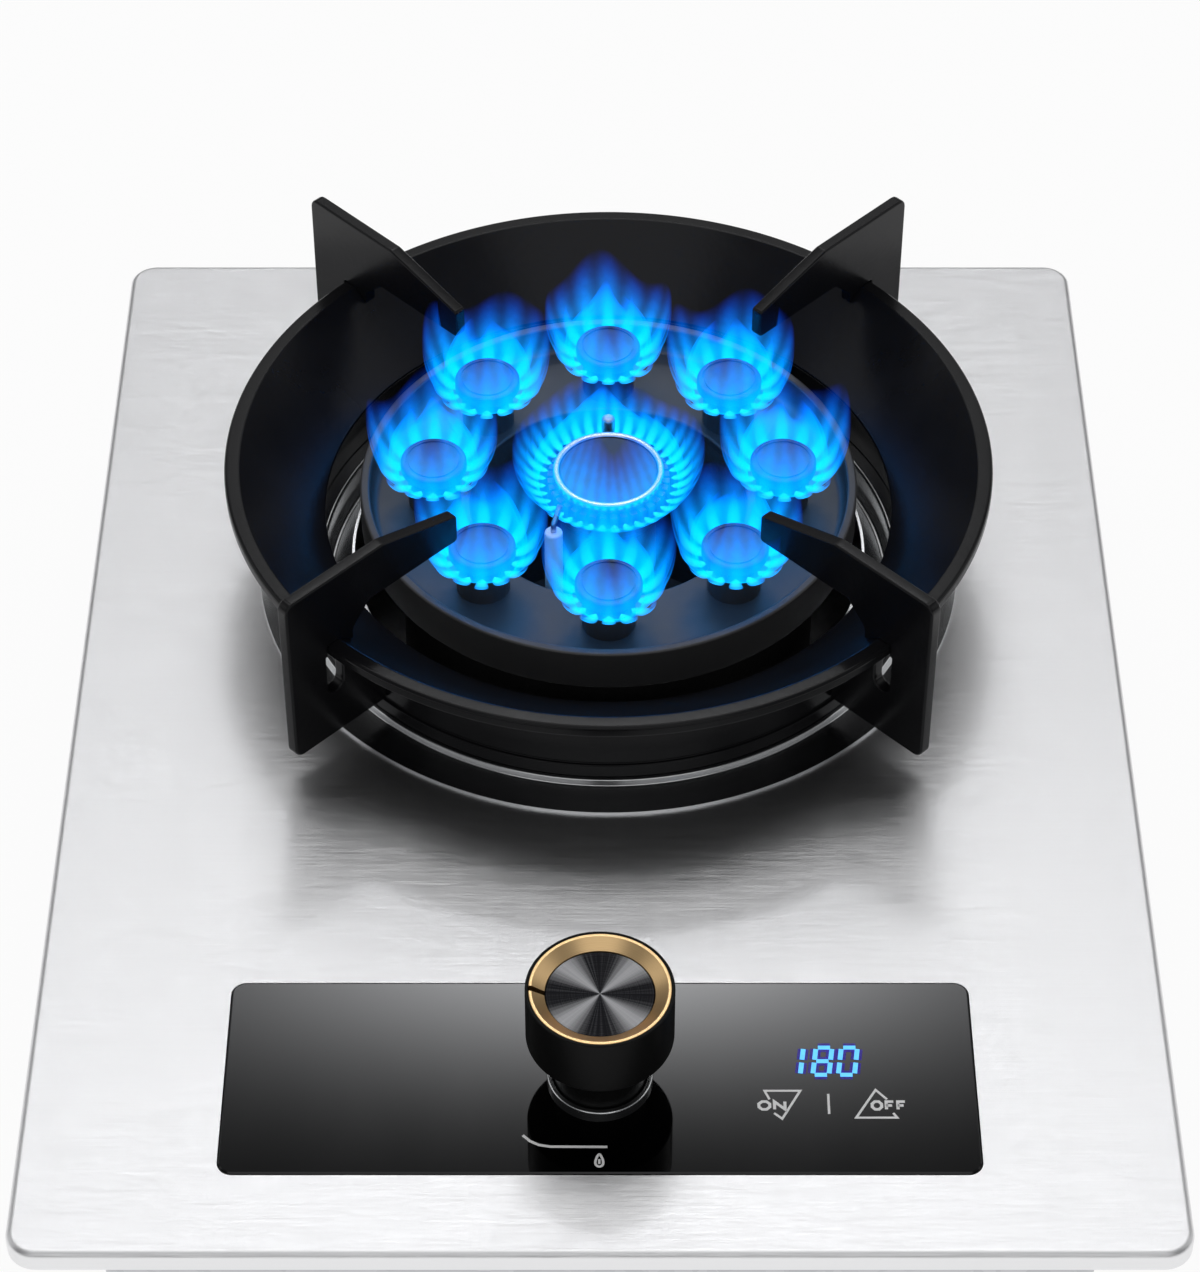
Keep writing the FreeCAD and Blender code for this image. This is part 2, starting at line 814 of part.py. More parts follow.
def air_shutter(x):
    """Disc on the injector's nose with air holes and an adjusting lever."""
    y1 = shutter_y + shutter_sheet
    disc = rod_y(shutter_radius, shutter_y, y1, x, mixer_z)
    half = shutter_lever_width / 2
    tip = mixer_z - shutter_radius - shutter_lever
    disc = disc.fuse(block(x - half, x + half, shutter_y, y1, tip, mixer_z))
    disc = disc.cut(rod_y(nose_radius + running_gap, shutter_y, y1, x, mixer_z))
    for angle in around(shutter_hole_count, 180.0 / shutter_hole_count):
        turn = math.radians(angle)
        hx = x + shutter_hole_pitch * math.cos(turn)
        hz = mixer_z + shutter_hole_pitch * math.sin(turn)
        disc = disc.cut(rod_y(shutter_hole_radius, shutter_y, y1, hx, hz))
    return disc


def mixing_tube(x, end_y):
    """Tube with a flanged mouth that feeds gas and air to the burner base."""
    bore = tube_radius - tube_wall
    flange = mouth_y + mouth_flange
    profile = [(bore, mouth_y), (mouth_radius, mouth_y), (mouth_radius, flange), (tube_radius, flange)]
    profile += [(tube_radius, end_y), (bore, end_y)]
    return spun_y(profile, x, mixer_z)


def burner_base():
    """Casting with a ring trough for the cups and a column for the centre head."""
    floor = base_low + base_floor
    column_low = column_radius - column_wall
    seat = panel_top + column_top
    profile = [(0, base_low), (base_radius, base_low), (base_radius, dish_seat), (trough_outer, dish_seat)]
    profile += [(trough_outer, floor), (trough_inner, floor), (trough_inner, dish_seat)]
    profile += [(trough_inner - trough_wall, dish_seat), (trough_inner - trough_wall, floor)]
    profile += [(column_radius, floor), (column_radius, seat), (column_low, seat)]
    profile += [(column_low, floor), (0, floor)]
    base = spun(profile, burner_x, burner_y)
    for angle in air_hole_angles:
        turn = math.radians(angle)
        x = burner_x + air_hole_pitch * math.cos(turn)
        y = burner_y + air_hole_pitch * math.sin(turn)
        base = base.cut(rod(air_hole_radius, base_low, floor, x, y))
    for side in (-1, 1):
        x = burner_x + side * strap_screw_offset
        base = base.cut(rod(screw_radius + fit_gap, base_low, floor, x, burner_y))
    base = base.cut(rod(ceramic_radius + fit_gap, base_low, floor, electrode_x, electrode_y))
    base = base.cut(rod(sensor_radius + fit_gap, base_low, floor, burner_x, sensor_y))
    hole = tube_radius + fit_gap
    base = base.cut(rod_y(hole, burner_y - base_radius, inner_tube_end(), inner_mixer_x, mixer_z))
    return base.cut(rod_y(hole, burner_y - base_radius, outer_tube_end(), outer_mixer_x, mixer_z))


def inner_tube_end():
    """The inner tube stops inside the column's bore."""
    return burner_y - column_radius + column_wall


def outer_tube_end():
    return burner_y - outer_tube_reach


def burner_strap():
    """Bent strap that carries the burner base above the case floor."""
    half = strap_half_length
    low = case_floor + strap_sheet
    path = [(-half - strap_foot, low), (-half, low), (-half, strap_top), (half, strap_top)]
    path += [(half, low), (half + strap_foot, low)]
    y = burner_y - strap_width / 2
    face = outline_face([vec(burner_x + x, y, z) for x, z in sheet_outline(path, strap_sheet)])
    strap = face.extrude(vec(0, strap_width, 0))
    for side in (-1, 1):
        x = burner_x + side * strap_screw_offset
        strap = strap.cut(rod(screw_radius + fit_gap, strap_top - strap_sheet, strap_top, x, burner_y))
    return strap


def burner_dish():
    inner_wall = dish_radius - dish_wall
    under = dish_floor_top - dish_floor
    profile = [(dish_inner_radius, under), (inner_wall, under), (inner_wall, under - dish_skirt_drop)]
    profile += [(dish_radius, under - dish_skirt_drop), (dish_radius, dish_rim), (inner_wall, dish_rim)]
    profile += [(inner_wall, dish_floor_top), (dish_inner_radius, dish_floor_top)]
    dish = at_burner(profile)
    z = panel_top
    for x, y in cup_places():
        dish = dish.cut(rod(cup_bore, z + under, z + dish_floor_top, x, y))
    return dish


def cup_places():
    places = []
    for angle in around(cup_count):
        turn = math.radians(angle)
        x = burner_x + cup_pitch_radius * math.cos(turn)
        y = burner_y + cup_pitch_radius * math.sin(turn)
        places.append((x, y))
    return places


def ported(shape, count, width, reach, z0, z1, x, y):
    """Cuts radial slots, open at the top, through a round wall."""
    slot = block(x, x + reach, y - width / 2, y + width / 2, z0, z1)
    slots = [turned(slot, angle, x, y) for angle in around(count)]
    return shape.cut(slots)


def burner_cups():
    cups = []
    low = panel_top + dish_floor_top
    top = panel_top + cup_top
    for x, y in cup_places():
        cup = rod(cup_radius, low, top, x, y).cut(rod(cup_bore, low, top, x, y))
        cup = ported(cup, cup_port_count, cup_port_width, 2 * cup_radius, top - cup_port_height, top, x, y)
        cups.append(cup)
    return Part.makeCompound(cups)


def flame_cap(x, y):
    low = panel_top + cup_top
    top = low + cap_height
    cap = rod(cap_radius, low, top, x, y)
    cap = cap.makeFillet(cap_round, edges_at(cap, top))
    groove = rod(cap_groove_radius, top - cap_groove_depth, top, x, y)
    groove = groove.cut(rod(cap_groove_radius - cap_groove_width, top - cap_groove_depth, top, x, y))
    return cap.cut(groove).fuse(rod(cup_bore - loose_gap, low - cap_spigot, low, x, y))


def centre_head():
    foot = column_top + head_foot
    profile = [(head_bore, column_top), (column_radius, column_top), (head_radius, foot)]
    profile += [(head_radius, head_top), (head_bore, head_top)]
    head = at_burner(profile)
    top = panel_top + head_top
    return ported(head, head_port_count, head_port_width, 2 * head_radius, top - head_port_height, top,
                  burner_x, burner_y)


def centre_cap():
    shoulder = head_top + centre_shoulder
    disc = centre_cap_radius - centre_ring_width - running_gap
    spigot = head_bore - loose_gap
    profile = [(0, head_top - centre_spigot), (spigot, head_top - centre_spigot), (spigot, head_top)]
    profile += [(centre_cap_radius, head_top), (centre_cap_radius, shoulder), (disc, shoulder)]
    profile += [(disc, head_top + centre_disc_height), (0, head_top + centre_disc_height)]
    return at_burner(profile)


def centre_cap_ring():
    low = head_top + centre_shoulder
    inner = centre_cap_radius - centre_ring_width
    profile = [(inner, low), (centre_cap_radius, low), (centre_cap_radius, low + centre_ring_height)]
    profile += [(inner, low + centre_ring_height)]
    ring = at_burner(profile)
    return ring.makeFillet(centre_ring_round, edges_at(ring, panel_top + low + centre_ring_height))


def electrode_ceramic():
    floor = base_low + base_floor
    top = panel_top + ceramic_top
    body = rod(ceramic_radius, base_low - ceramic_below, top, electrode_x, electrode_y)
    body = body.makeFillet(ceramic_round, edges_at(body, top))
    collar_top = floor + ceramic_collar_height
    body = body.fuse(rod(ceramic_collar_radius, floor, collar_top, electrode_x, electrode_y))
    low = base_low - ceramic_below
    return body.cut(rod(needle_radius + running_gap, low, top, electrode_x, electrode_y))


def electrode_needle():
    """Wire up the ceramic that leans over towards the centre burner."""
    top = panel_top + ceramic_top
    reach = math.hypot(electrode_dx, electrode_dy)
    route = [vec(electrode_x, electrode_y, base_low - ceramic_below)]
    route.append(vec(electrode_x, electrode_y, top + needle_straight))
    route.append(vec(electrode_x - needle_lean * electrode_dx / reach,
                     electrode_y - needle_lean * electrode_dy / reach, top + needle_rise))
    return swept(route, needle_radius, needle_bend)


def flame_sensor():
    top = panel_top + sensor_top
    floor = base_low + base_floor
    rod_part = rod(sensor_radius, base_low - ceramic_below, top, burner_x, sensor_y)
    rod_part = rod_part.makeFillet(sensor_round, edges_at(rod_part, top))
    collar = ceramic_collar_radius - (ceramic_radius - sensor_radius)
    return rod_part.fuse(rod(collar, floor, floor + ceramic_collar_height, burner_x, sensor_y))


def drip_tray():
    """Pressed ring tray: flange on the panel, land for the skirt, bowl and inner collar."""
    foot = tray_sheet
    land = tray_land_height
    bowl = -tray_bowl_depth
    path = [(tray_collar_radius, tray_collar_height), (tray_collar_radius, bowl + tray_round)]
    path += [(tray_collar_radius + tray_round, bowl), (tray_bowl_radius - tray_round, bowl)]
    path += [(tray_bowl_radius, bowl + tray_round), (tray_bowl_radius, land - tray_round)]
    path += [(tray_land_inner, land), (tray_land_outer, land), (tray_land_outer + tray_step, foot)]
    path += [(tray_radius, foot)]
    return at_burner(sheet_outline(path, tray_sheet))


def wind_shield():
    """Funnel of the wind shield with its square rim."""
    low_r = lip_radius + funnel_sheet * math.sin(funnel_angle)
    low_h = funnel_under(low_r)
    rim_low = rim_height - rim_drop
    joint_r = low_r + (rim_low - low_h) / math.tan(funnel_angle)
    profile = [(lip_radius, lip_height), (low_r, low_h), (joint_r, rim_low), (rim_radius, rim_low)]
    profile += [(rim_radius, rim_height), (rim_radius - rim_width, rim_height)]
    shield = at_burner(profile)
    return shield.makeFillet(rim_round, edges_at(shield, panel_top + rim_height))


def shield_skirt():
    inner = skirt_radius - skirt_sheet
    land = tray_land_height
    hem = skirt_radius + hem_proud
    profile = [(inner, land), (hem, land), (hem, land + hem_height), (skirt_radius, land + hem_height)]
    profile += [(skirt_radius, funnel_under(skirt_radius)), (inner, funnel_under(inner))]
    return at_burner(profile)


def pan_fin(angle, shield):
    """Upright plate that grips the rim and holds the pan, welded to funnel and skirt."""
    inner = skirt_radius
    tip = fin_tip_radius
    outer = fin_outer_radius
    path = [(inner, fin_foot), (outer - fin_chamfer, fin_foot), (outer, fin_foot + fin_chamfer)]
    path += [(outer, fin_top - fin_chamfer), (outer - fin_chamfer, fin_top), (fin_flat_inner_radius, fin_top)]
    path += [(tip + fin_tip_chamfer, fin_tip_top), (tip, fin_tip_top - fin_tip_chamfer)]
    path += [(tip, fin_arm_bottom + fin_tip_chamfer), (tip + fin_tip_chamfer, fin_arm_bottom)]
    path += [(fin_arm_root_radius, fin_arm_bottom), (fin_root_radius, fin_arm_bottom - fin_root_drop)]
    path += [(fin_root_radius, funnel_middle(fin_root_radius)), (inner, funnel_middle(inner))]
    half = fin_thickness / 2
    face = outline_face([vec(r, -half, h) for r, h in path])
    plate = face.extrude(vec(0, fin_thickness, 0))
    slot_half = fin_slot_width / 2
    slot_low = fin_slot_foot + slot_half
    slot = block(fin_slot_radius - slot_half, fin_slot_radius + slot_half, -half, half, slot_low,
                 funnel_under(fin_slot_radius))
    plate = plate.cut(slot).cut(rod_y(slot_half, -half, half, fin_slot_radius, slot_low))
    plate.translate(vec(burner_x, burner_y, panel_top))
    plate = turned(plate, angle, burner_x, burner_y)
    return plate.cut(shield)


def pulse_igniter():
    half_l = igniter_length / 2
    half_d = igniter_depth / 2
    case = block(igniter_x - half_l, igniter_x + half_l, igniter_y - half_d, igniter_y + half_d,
                 case_floor, case_floor + igniter_height)
    return case.makeFillet(case_wall, edges_at(case, case_floor + igniter_height))


def battery_box():
    """Cradle open to the case wall, standing on the case floor."""
    out = battery_half + battery_wall
    wall_x = case_right - case_wall
    top = battery_low + 2 * battery_half
    box = block(battery_inner_x - battery_wall, wall_x, battery_y - out, battery_y + out,
                case_floor, top + battery_wall)
    return box.cut(block(battery_inner_x, wall_x, battery_y - battery_half, battery_y + battery_half,
                         battery_low, top))


def battery():
    end = battery_inner_x + battery_length
    cell = rod_x(battery_radius, battery_inner_x, end, battery_y, battery_z)
    return cell.fuse(rod_x(battery_cap_radius, end, end + battery_cap_height, battery_y, battery_z))


def battery_door():
    """Moulded door on two moulded pivots at its foot; it falls open outwards."""
    half = battery_half + door_margin
    low = door_pin_z + door_knuckle_radius + door_lift
    top = battery_low + 2 * battery_half + door_margin
    door = block(door_x, door_x + door_sheet, battery_y - half, battery_y + half, low, top)
    knuckle = door_knuckle_length / 2
    web = block(door_x, door_x + door_sheet, battery_y - knuckle, battery_y + knuckle, door_pin_z, low)
    barrel = rod_y(door_knuckle_radius, battery_y - knuckle, battery_y + knuckle, door_pin_x, door_pin_z)
    pivot = knuckle + loose_gap + door_ear_width
    pin = rod_y(door_pin_radius, battery_y - pivot, battery_y + pivot, door_pin_x, door_pin_z)
    return door.fuse([web, barrel, pin])


def ignition_lead():
    """Cable from the igniter to the electrode's foot."""
    x0 = igniter_x - igniter_length / 2
    route = [vec(x0, igniter_y, lead_z), vec(electrode_x, igniter_y, lead_z)]
    route += [vec(electrode_x, electrode_y, lead_z), vec(electrode_x, electrode_y, base_low - ceramic_below)]
    return swept(route, lead_radius, lead_bend)


def sensor_lead():
    """Capillary from the flame sensor to the safety magnet."""
    end_x = valve_width / 2 + magnet_length
    turn_x = end_x + sensor_lead_beyond_magnet
    z = sensor_lead_z
    route = [vec(burner_x, sensor_y, base_low - ceramic_below), vec(burner_x, sensor_y, z)]
    route += [vec(burner_x, sensor_lead_turn_y, z), vec(turn_x, knob_y, z)]
    route += [vec(turn_x, knob_y, inlet_z), vec(end_x, knob_y, inlet_z)]
    return swept(route, sensor_lead_radius, lead_bend)


def all_parts():
    parts = {
        "top_panel": top_panel(),
        "panel_seal": panel_seal(),
        "bottom_case": bottom_case(),
        "rubber_feet": rubber_feet(),
        "corner_brackets": corner_brackets(),
        "machine_screws": machine_screws(),
        "control_glass": control_glass(),
        "control_carrier": control_carrier(),
        "display_block": display_box(0.0),
        "timer_board": timer_board(),
        "knob_body": knob_body(),
        "knob_bevel_ring": knob_bevel_ring(),
        "knob_disc": knob_disc(),
        "knob_base_ring": knob_base_ring(),
        "valve_stem": valve_stem(),
        "return_spring": return_spring(),
        "valve_plug": valve_plug(),
        "valve_body": valve_body(),
        "valve_cover": valve_cover(),
        "valve_bracket": valve_bracket(),
        "safety_magnet": safety_magnet(),
        "micro_switch": micro_switch(),
        "inlet_fitting": inlet_fitting(),
        "inlet_pipe": inlet_pipe(),
        "injectors": injectors(),
        "air_shutter_inner": air_shutter(inner_mixer_x),
        "air_shutter_outer": air_shutter(outer_mixer_x),
        "mixing_tube_inner": mixing_tube(inner_mixer_x, inner_tube_end()),
        "mixing_tube_outer": mixing_tube(outer_mixer_x, outer_tube_end()),
        "burner_base": burner_base(),
        "burner_strap": burner_strap(),
        "burner_dish": burner_dish(),
        "burner_cups": burner_cups(),
        "centre_head": centre_head(),
        "centre_cap": centre_cap(),
        "centre_cap_ring": centre_cap_ring(),
        "electrode_ceramic": electrode_ceramic(),
        "electrode_needle": electrode_needle(),
        "flame_sensor": flame_sensor(),
        "drip_tray": drip_tray(),
        "wind_shield": wind_shield(),
        "shield_skirt": shield_skirt(),
        "pulse_igniter": pulse_igniter(),
        "battery_box": battery_box(),
        "battery": battery(),
        "battery_door": battery_door(),
        "ignition_lead": ignition_lead(),
        "sensor_lead": sensor_lead(),
    }
    for i, (x, y) in enumerate(cup_places(), 1):
        parts["flame_cap_%d" % i] = flame_cap(x, y)
    for i, angle in enumerate(around(fin_count, 180.0 / fin_count), 1):
        parts["pan_fin_%d" % i] = pan_fin(angle, [parts["wind_shield"], parts["shield_skirt"]])
    return parts


os.makedirs("parts", exist_ok=True)
for name, shape in all_parts().items():
    shape.exportStep("parts/%s.step" % name)
    print("%-20s %2d solids %12.1f mm3 valid %s" % (name, len(shape.Solids), shape.Volume, shape.isValid()))
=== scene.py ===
import json
import math
import bmesh
import bpy
import numpy as np
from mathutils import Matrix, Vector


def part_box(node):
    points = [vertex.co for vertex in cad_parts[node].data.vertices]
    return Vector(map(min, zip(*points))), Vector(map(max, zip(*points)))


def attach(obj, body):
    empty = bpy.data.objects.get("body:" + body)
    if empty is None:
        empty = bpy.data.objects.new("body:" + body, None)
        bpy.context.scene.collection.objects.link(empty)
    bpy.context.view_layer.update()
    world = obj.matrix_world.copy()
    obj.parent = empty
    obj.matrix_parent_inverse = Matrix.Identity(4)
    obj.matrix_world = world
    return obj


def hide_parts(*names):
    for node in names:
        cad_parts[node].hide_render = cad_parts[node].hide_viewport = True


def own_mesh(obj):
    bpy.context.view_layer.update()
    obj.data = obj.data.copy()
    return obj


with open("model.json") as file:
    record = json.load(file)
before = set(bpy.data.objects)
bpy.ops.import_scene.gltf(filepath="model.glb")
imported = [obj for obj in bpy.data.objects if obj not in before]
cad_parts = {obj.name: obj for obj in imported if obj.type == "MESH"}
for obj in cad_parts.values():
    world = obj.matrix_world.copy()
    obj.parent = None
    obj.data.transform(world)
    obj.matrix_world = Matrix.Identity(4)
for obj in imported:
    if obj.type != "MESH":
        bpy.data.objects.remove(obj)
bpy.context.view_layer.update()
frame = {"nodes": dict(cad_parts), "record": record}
record = frame["record"]
panel_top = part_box("top_panel")[1].z


# The closed case under the panel with the gas works in it: zinc-coated sheet, brass and
# cast aluminium fittings, moulded plastic boxes. All bought or pressed parts, screwed
# to the case floor. The solids have the right shapes, so each gets its finish here.
class Value:
    """A value in a material's node tree, so that shader maths reads as plain expressions."""

    def __init__(self, tree, socket=None):
        self.tree = tree
        self.socket = socket

    def node(self, kind, settings=None, inputs=None, output=0):
        """Adds one node: its settings first, then the values or links of its sockets."""
        made = self.tree.nodes.new(kind)
        for name, setting in (settings or {}).items():
            if name == "stops":
                ramp = made.color_ramp.elements
                while len(ramp) < len(setting):
                    ramp.new(0.5)
                for element, (place, colour) in zip(ramp, setting):
                    element.position = place
                    element.color = (*colour, 1)
            else:
                setattr(made, name, setting)
        for name, value in (inputs or {}).items():
            if isinstance(value, Value):
                self.tree.links.new(value.socket, made.inputs[name])
            else:
                made.inputs[name].default_value = value
        return Value(self.tree, made.outputs[output])

    def math(self, operation, first, second=0.0):
        return self.node("ShaderNodeMath", {"operation": operation}, {0: first, 1: second})

    def __add__(self, other):
        return self.math("ADD", self, other)

    __radd__ = __add__

    def __sub__(self, other):
        return self.math("SUBTRACT", self, other)

    def __rsub__(self, other):
        return self.math("SUBTRACT", other, self)

    def __mul__(self, other):
        return self.math("MULTIPLY", self, other)

    __rmul__ = __mul__

    def __truediv__(self, other):
        return self.math("DIVIDE", self, other)

    def __rtruediv__(self, other):
        return self.math("DIVIDE", other, self)

    def __pow__(self, other):
        return self.math("POWER", self, other)

    def __rpow__(self, other):
        return self.math("POWER", other, self)


def new_finish(name, colour, roughness, metallic=0.0, **constants):
    """A material with one Principled shader; what is the same all over is set on its own sockets."""
    material = bpy.data.materials.new(name)
    material.use_nodes = True
    shader = material.node_tree.nodes["Principled BSDF"]
    shader.inputs["Base Color"].default_value = (*colour, 1)
    shader.inputs["Roughness"].default_value = roughness
    shader.inputs["Metallic"].default_value = metallic
    for socket, value in constants.items():
        shader.inputs[socket.replace("_", " ")].default_value = value
    return material, Value(material.node_tree), shader


def feed(shader, socket, value):
    """Links a value that changes over the surface to one socket of the shader."""
    value.tree.links.new(value.socket, shader.inputs[socket])


def tint(value, factor, first, second):
    """Colour between two colours by a factor."""
    colours = {0: factor, 6: (*first, 1), 7: (*second, 1)}
    return value.node("ShaderNodeMix", {"data_type": "RGBA"}, colours, 2)


def here(value, scale=(1, 1, 1), shift=(0, 0, 0)):
    """The point on the piece, moved and then scaled, for a pattern to read."""
    place = value.node("ShaderNodeTexCoord", output="Object")
    moved = value.node("ShaderNodeVectorMath", {"operation": "SUBTRACT"}, {0: place, 1: shift})
    return value.node("ShaderNodeVectorMath", {"operation": "MULTIPLY"}, {0: moved, 1: scale})


def noise(value, place, scale, detail=3.0):
    """Soft cloud between 0 and 1; the scale is in clouds to the unit of the place."""
    inputs = {"Vector": place, "Scale": scale, "Detail": detail}
    return value.node("ShaderNodeTexNoise", inputs=inputs, output="Fac")


def raised(value, shader, height, strength, depth):
    """Feeds a height through a Bump node to the shader's normal."""
    inputs = {"Height": height, "Strength": strength, "Distance": depth}
    feed(shader, "Normal", value.node("ShaderNodeBump", inputs=inputs, output="Normal"))


def cloudy_finish(name, dark, light, grain, rough, metallic=0.0, relief=0.15, **constants):
    """Everyday finish: tone drifts over 40 grains, roughness over 6, and the grain itself is raised."""
    material, value, shader = new_finish(name, light, sum(rough) / 2, metallic, **constants)
    place = here(value)
    drift = noise(value, place, 1 / (40 * grain))
    patch = noise(value, place, 1 / (6 * grain))
    speck = noise(value, place, 1 / grain, 2.0)
    feed(shader, "Base Color", tint(value, drift * 0.7 + speck * 0.3, dark, light))
    feed(shader, "Roughness", rough[0] + (rough[1] - rough[0]) * patch)
    raised(value, shader, speck, relief, grain / 4)
    return material


def spangled_zinc():
    """Zinc coat: flat crystals a few millimetres across, each a little lighter or darker than the next."""
    material, value, shader = new_finish("spangled zinc", (0.5, 0.51, 0.53), 0.4, 1.0)
    place = here(value)
    cells = value.node("ShaderNodeTexVoronoi", inputs={"Vector": place, "Scale": 240.0}, output="Color")
    crystal = value.node("ShaderNodeSeparateColor", inputs={"Color": cells}, output="Red")
    feed(shader, "Base Color", tint(value, crystal, (0.5, 0.51, 0.53), (0.6, 0.61, 0.63)))
    feed(shader, "Roughness", 0.36 + crystal * 0.1)
    raised(value, shader, noise(value, place, 900.0), 0.06, 0.0003)
    return material


def printed_board():
    """Green lacquer over copper tracks: tracks are bands of two crossed waves, a shade lighter and raised."""
    material, value, shader = new_finish("green board", (0.02, 0.16, 0.06), 0.35)
    place = here(value)
    wave = {"Vector": place, "Scale": 90.0, "Distortion": 6.0, "Detail": 1.0}
    waves = [value.node("ShaderNodeTexWave", {"bands_direction": along}, wave, "Fac") for along in "XY"]
    track = value.math("GREATER_THAN", waves[0] * waves[1], 0.42)
    feed(shader, "Base Color", tint(value, track, (0.012, 0.11, 0.04), (0.04, 0.24, 0.08)))
    raised(value, shader, track, 0.3, 0.00004)
    return material


finishes = {
    "zinc_sheet": spangled_zinc(),
    "circuit_board": printed_board(),
    "rubber": cloudy_finish("foot rubber", (0.012, 0.012, 0.012), (0.03, 0.03, 0.03), 0.0006, (0.7, 0.9)),
    "foam": cloudy_finish("seal foam", (0.02, 0.02, 0.02), (0.07, 0.07, 0.07), 0.0012, (0.85, 1.0), relief=0.6),
    "bare_steel": cloudy_finish("screw steel", (0.42, 0.42, 0.42), (0.6, 0.6, 0.6), 0.0005, (0.25, 0.45), 1.0),
    "spring_steel": cloudy_finish("spring wire", (0.35, 0.35, 0.36), (0.5, 0.5, 0.52), 0.0004, (0.2, 0.4), 1.0),
    "black_plastic": cloudy_finish("moulded black", (0.012, 0.012, 0.013), (0.03, 0.03, 0.032), 0.0005, (0.4, 0.6)),
    "cast_aluminium": cloudy_finish("cast aluminium", (0.4, 0.4, 0.41), (0.6, 0.6, 0.61), 0.0012, (0.4, 0.65), 1.0,
                                    0.35),
    "base_casting": cloudy_finish("burner casting", (0.05, 0.05, 0.05), (0.13, 0.13, 0.13), 0.0014, (0.5, 0.75), 0.6,
                                  0.4),
    "brass": cloudy_finish("turned brass", (0.55, 0.36, 0.12), (0.75, 0.53, 0.22), 0.0006, (0.2, 0.38), 1.0),
    "copper": cloudy_finish("copper pipe", (0.6, 0.24, 0.13), (0.82, 0.42, 0.27), 0.0008, (0.2, 0.42), 1.0),
    "ceramic": cloudy_finish("white ceramic", (0.7, 0.69, 0.66), (0.86, 0.85, 0.83), 0.0005, (0.2, 0.4)),
    "battery_sleeve": cloudy_finish("battery sleeve", (0.03, 0.05, 0.12), (0.06, 0.09, 0.2), 0.001, (0.2, 0.35)),
    "red_silicone": cloudy_finish("lead silicone", (0.4, 0.02, 0.015), (0.6, 0.05, 0.03), 0.0006, (0.45, 0.6)),
}


# Top panel: one sheet of stainless steel, brushed along its width, folded down at the edges
# and pressed out for the glass and the burner. It hooks over the case.
def brushed_steel():
    """Brush lines: noise drawn out a few hundred times longer along X than across, raised and in the roughness."""
    material, value, shader = new_finish("brushed steel", (0.8, 0.8, 0.81), 0.27, 1.0)
    fine = noise(value, here(value, (40, 14000, 14000)), 1.0, 2.0)
    broad = noise(value, here(value, (14, 2200, 2200)), 1.0, 2.0)
    feed(shader, "Base Color", tint(value, broad * 0.3 + fine * 0.7, (0.78, 0.78, 0.79), (0.84, 0.84, 0.85)))
    feed(shader, "Roughness", 0.29 + 0.03 * broad)
    raised(value, shader, fine * 0.95 + broad * 0.05, 0.25, 0.00018)
    return material


finishes["brushed_steel"] = brushed_steel()


# Control glass: black tempered glass with ground edges, let into the panel and glued to its
# carrier. The marks are white ceramic ink; the timer's lit digits show through from behind.
def control_glass():
    """Dark ink under clear glass with a painted reflection that makes it a shade lighter towards the back, and wiped
    smudges in the gloss.
    """
    material, value, shader = new_finish("black glass", (0.004, 0.004, 0.005), 0.04, Specular_IOR_Level=0.4)
    low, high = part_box("control_glass")
    depth = value.node("ShaderNodeSeparateXYZ", inputs={"Vector": here(value, shift=(0, low.y, 0))}, output="Y")
    # Painted reflection: the glass's colour grows lighter towards its back edge, standing in for a lamp's reflection.
    painted_reflection = (depth / (high.y - low.y)) ** 2.2
    feed(shader, "Base Color", tint(value, painted_reflection, (0.0005, 0.0005, 0.0006), (0.012, 0.012, 0.013)))
    feed(shader, "Roughness", 0.02 + 0.05 * noise(value, here(value, (40, 14, 40)), 1.0))
    return material


finishes["black_glass"] = control_glass()
glass_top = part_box("control_glass")[1].z
ink_height, millimetre = 0.00006, 0.001
merge_gap, sliver_width, sharp_angle = 2e-6, 1e-7, math.radians(38)


def grid(rows, columns, wrap_rows, wrap_columns):
    """Corner numbers of the quads between neighbours on a grid of points, joined round where it wraps."""
    i = np.arange(rows if wrap_rows else rows - 1)[:, None]
    j = np.arange(columns if wrap_columns else columns - 1)[None, :]
    below, beside = (i + 1) % rows, (j + 1) % columns
    corners = [i * columns + j, below * columns + j, below * columns + beside, i * columns + beside]
    return np.stack(np.broadcast_arrays(*corners), -1).reshape(-1, 4)


def flat_ends(rows, columns):
    """Corner numbers of the two faces that close a tube of grid points: its first row and its last."""
    return np.arange(columns), np.arange(columns) + (rows - 1) * columns


def joined(shells):
    """Several (points, quads, ends) shells as one, with each shell's corner numbers moved past the last one's."""
    points = [np.reshape(shell[0], (-1, 3)) for shell in shells]
    starts = np.cumsum([0] + [len(flat) for flat in points[:-1]])
    quads = np.concatenate([shell[1] + start for shell, start in zip(shells, starts)])
    ends = [(end + start).tolist() for shell, start in zip(shells, starts) for end in shell[2]]
    return np.concatenate(points), quads.tolist() + ends


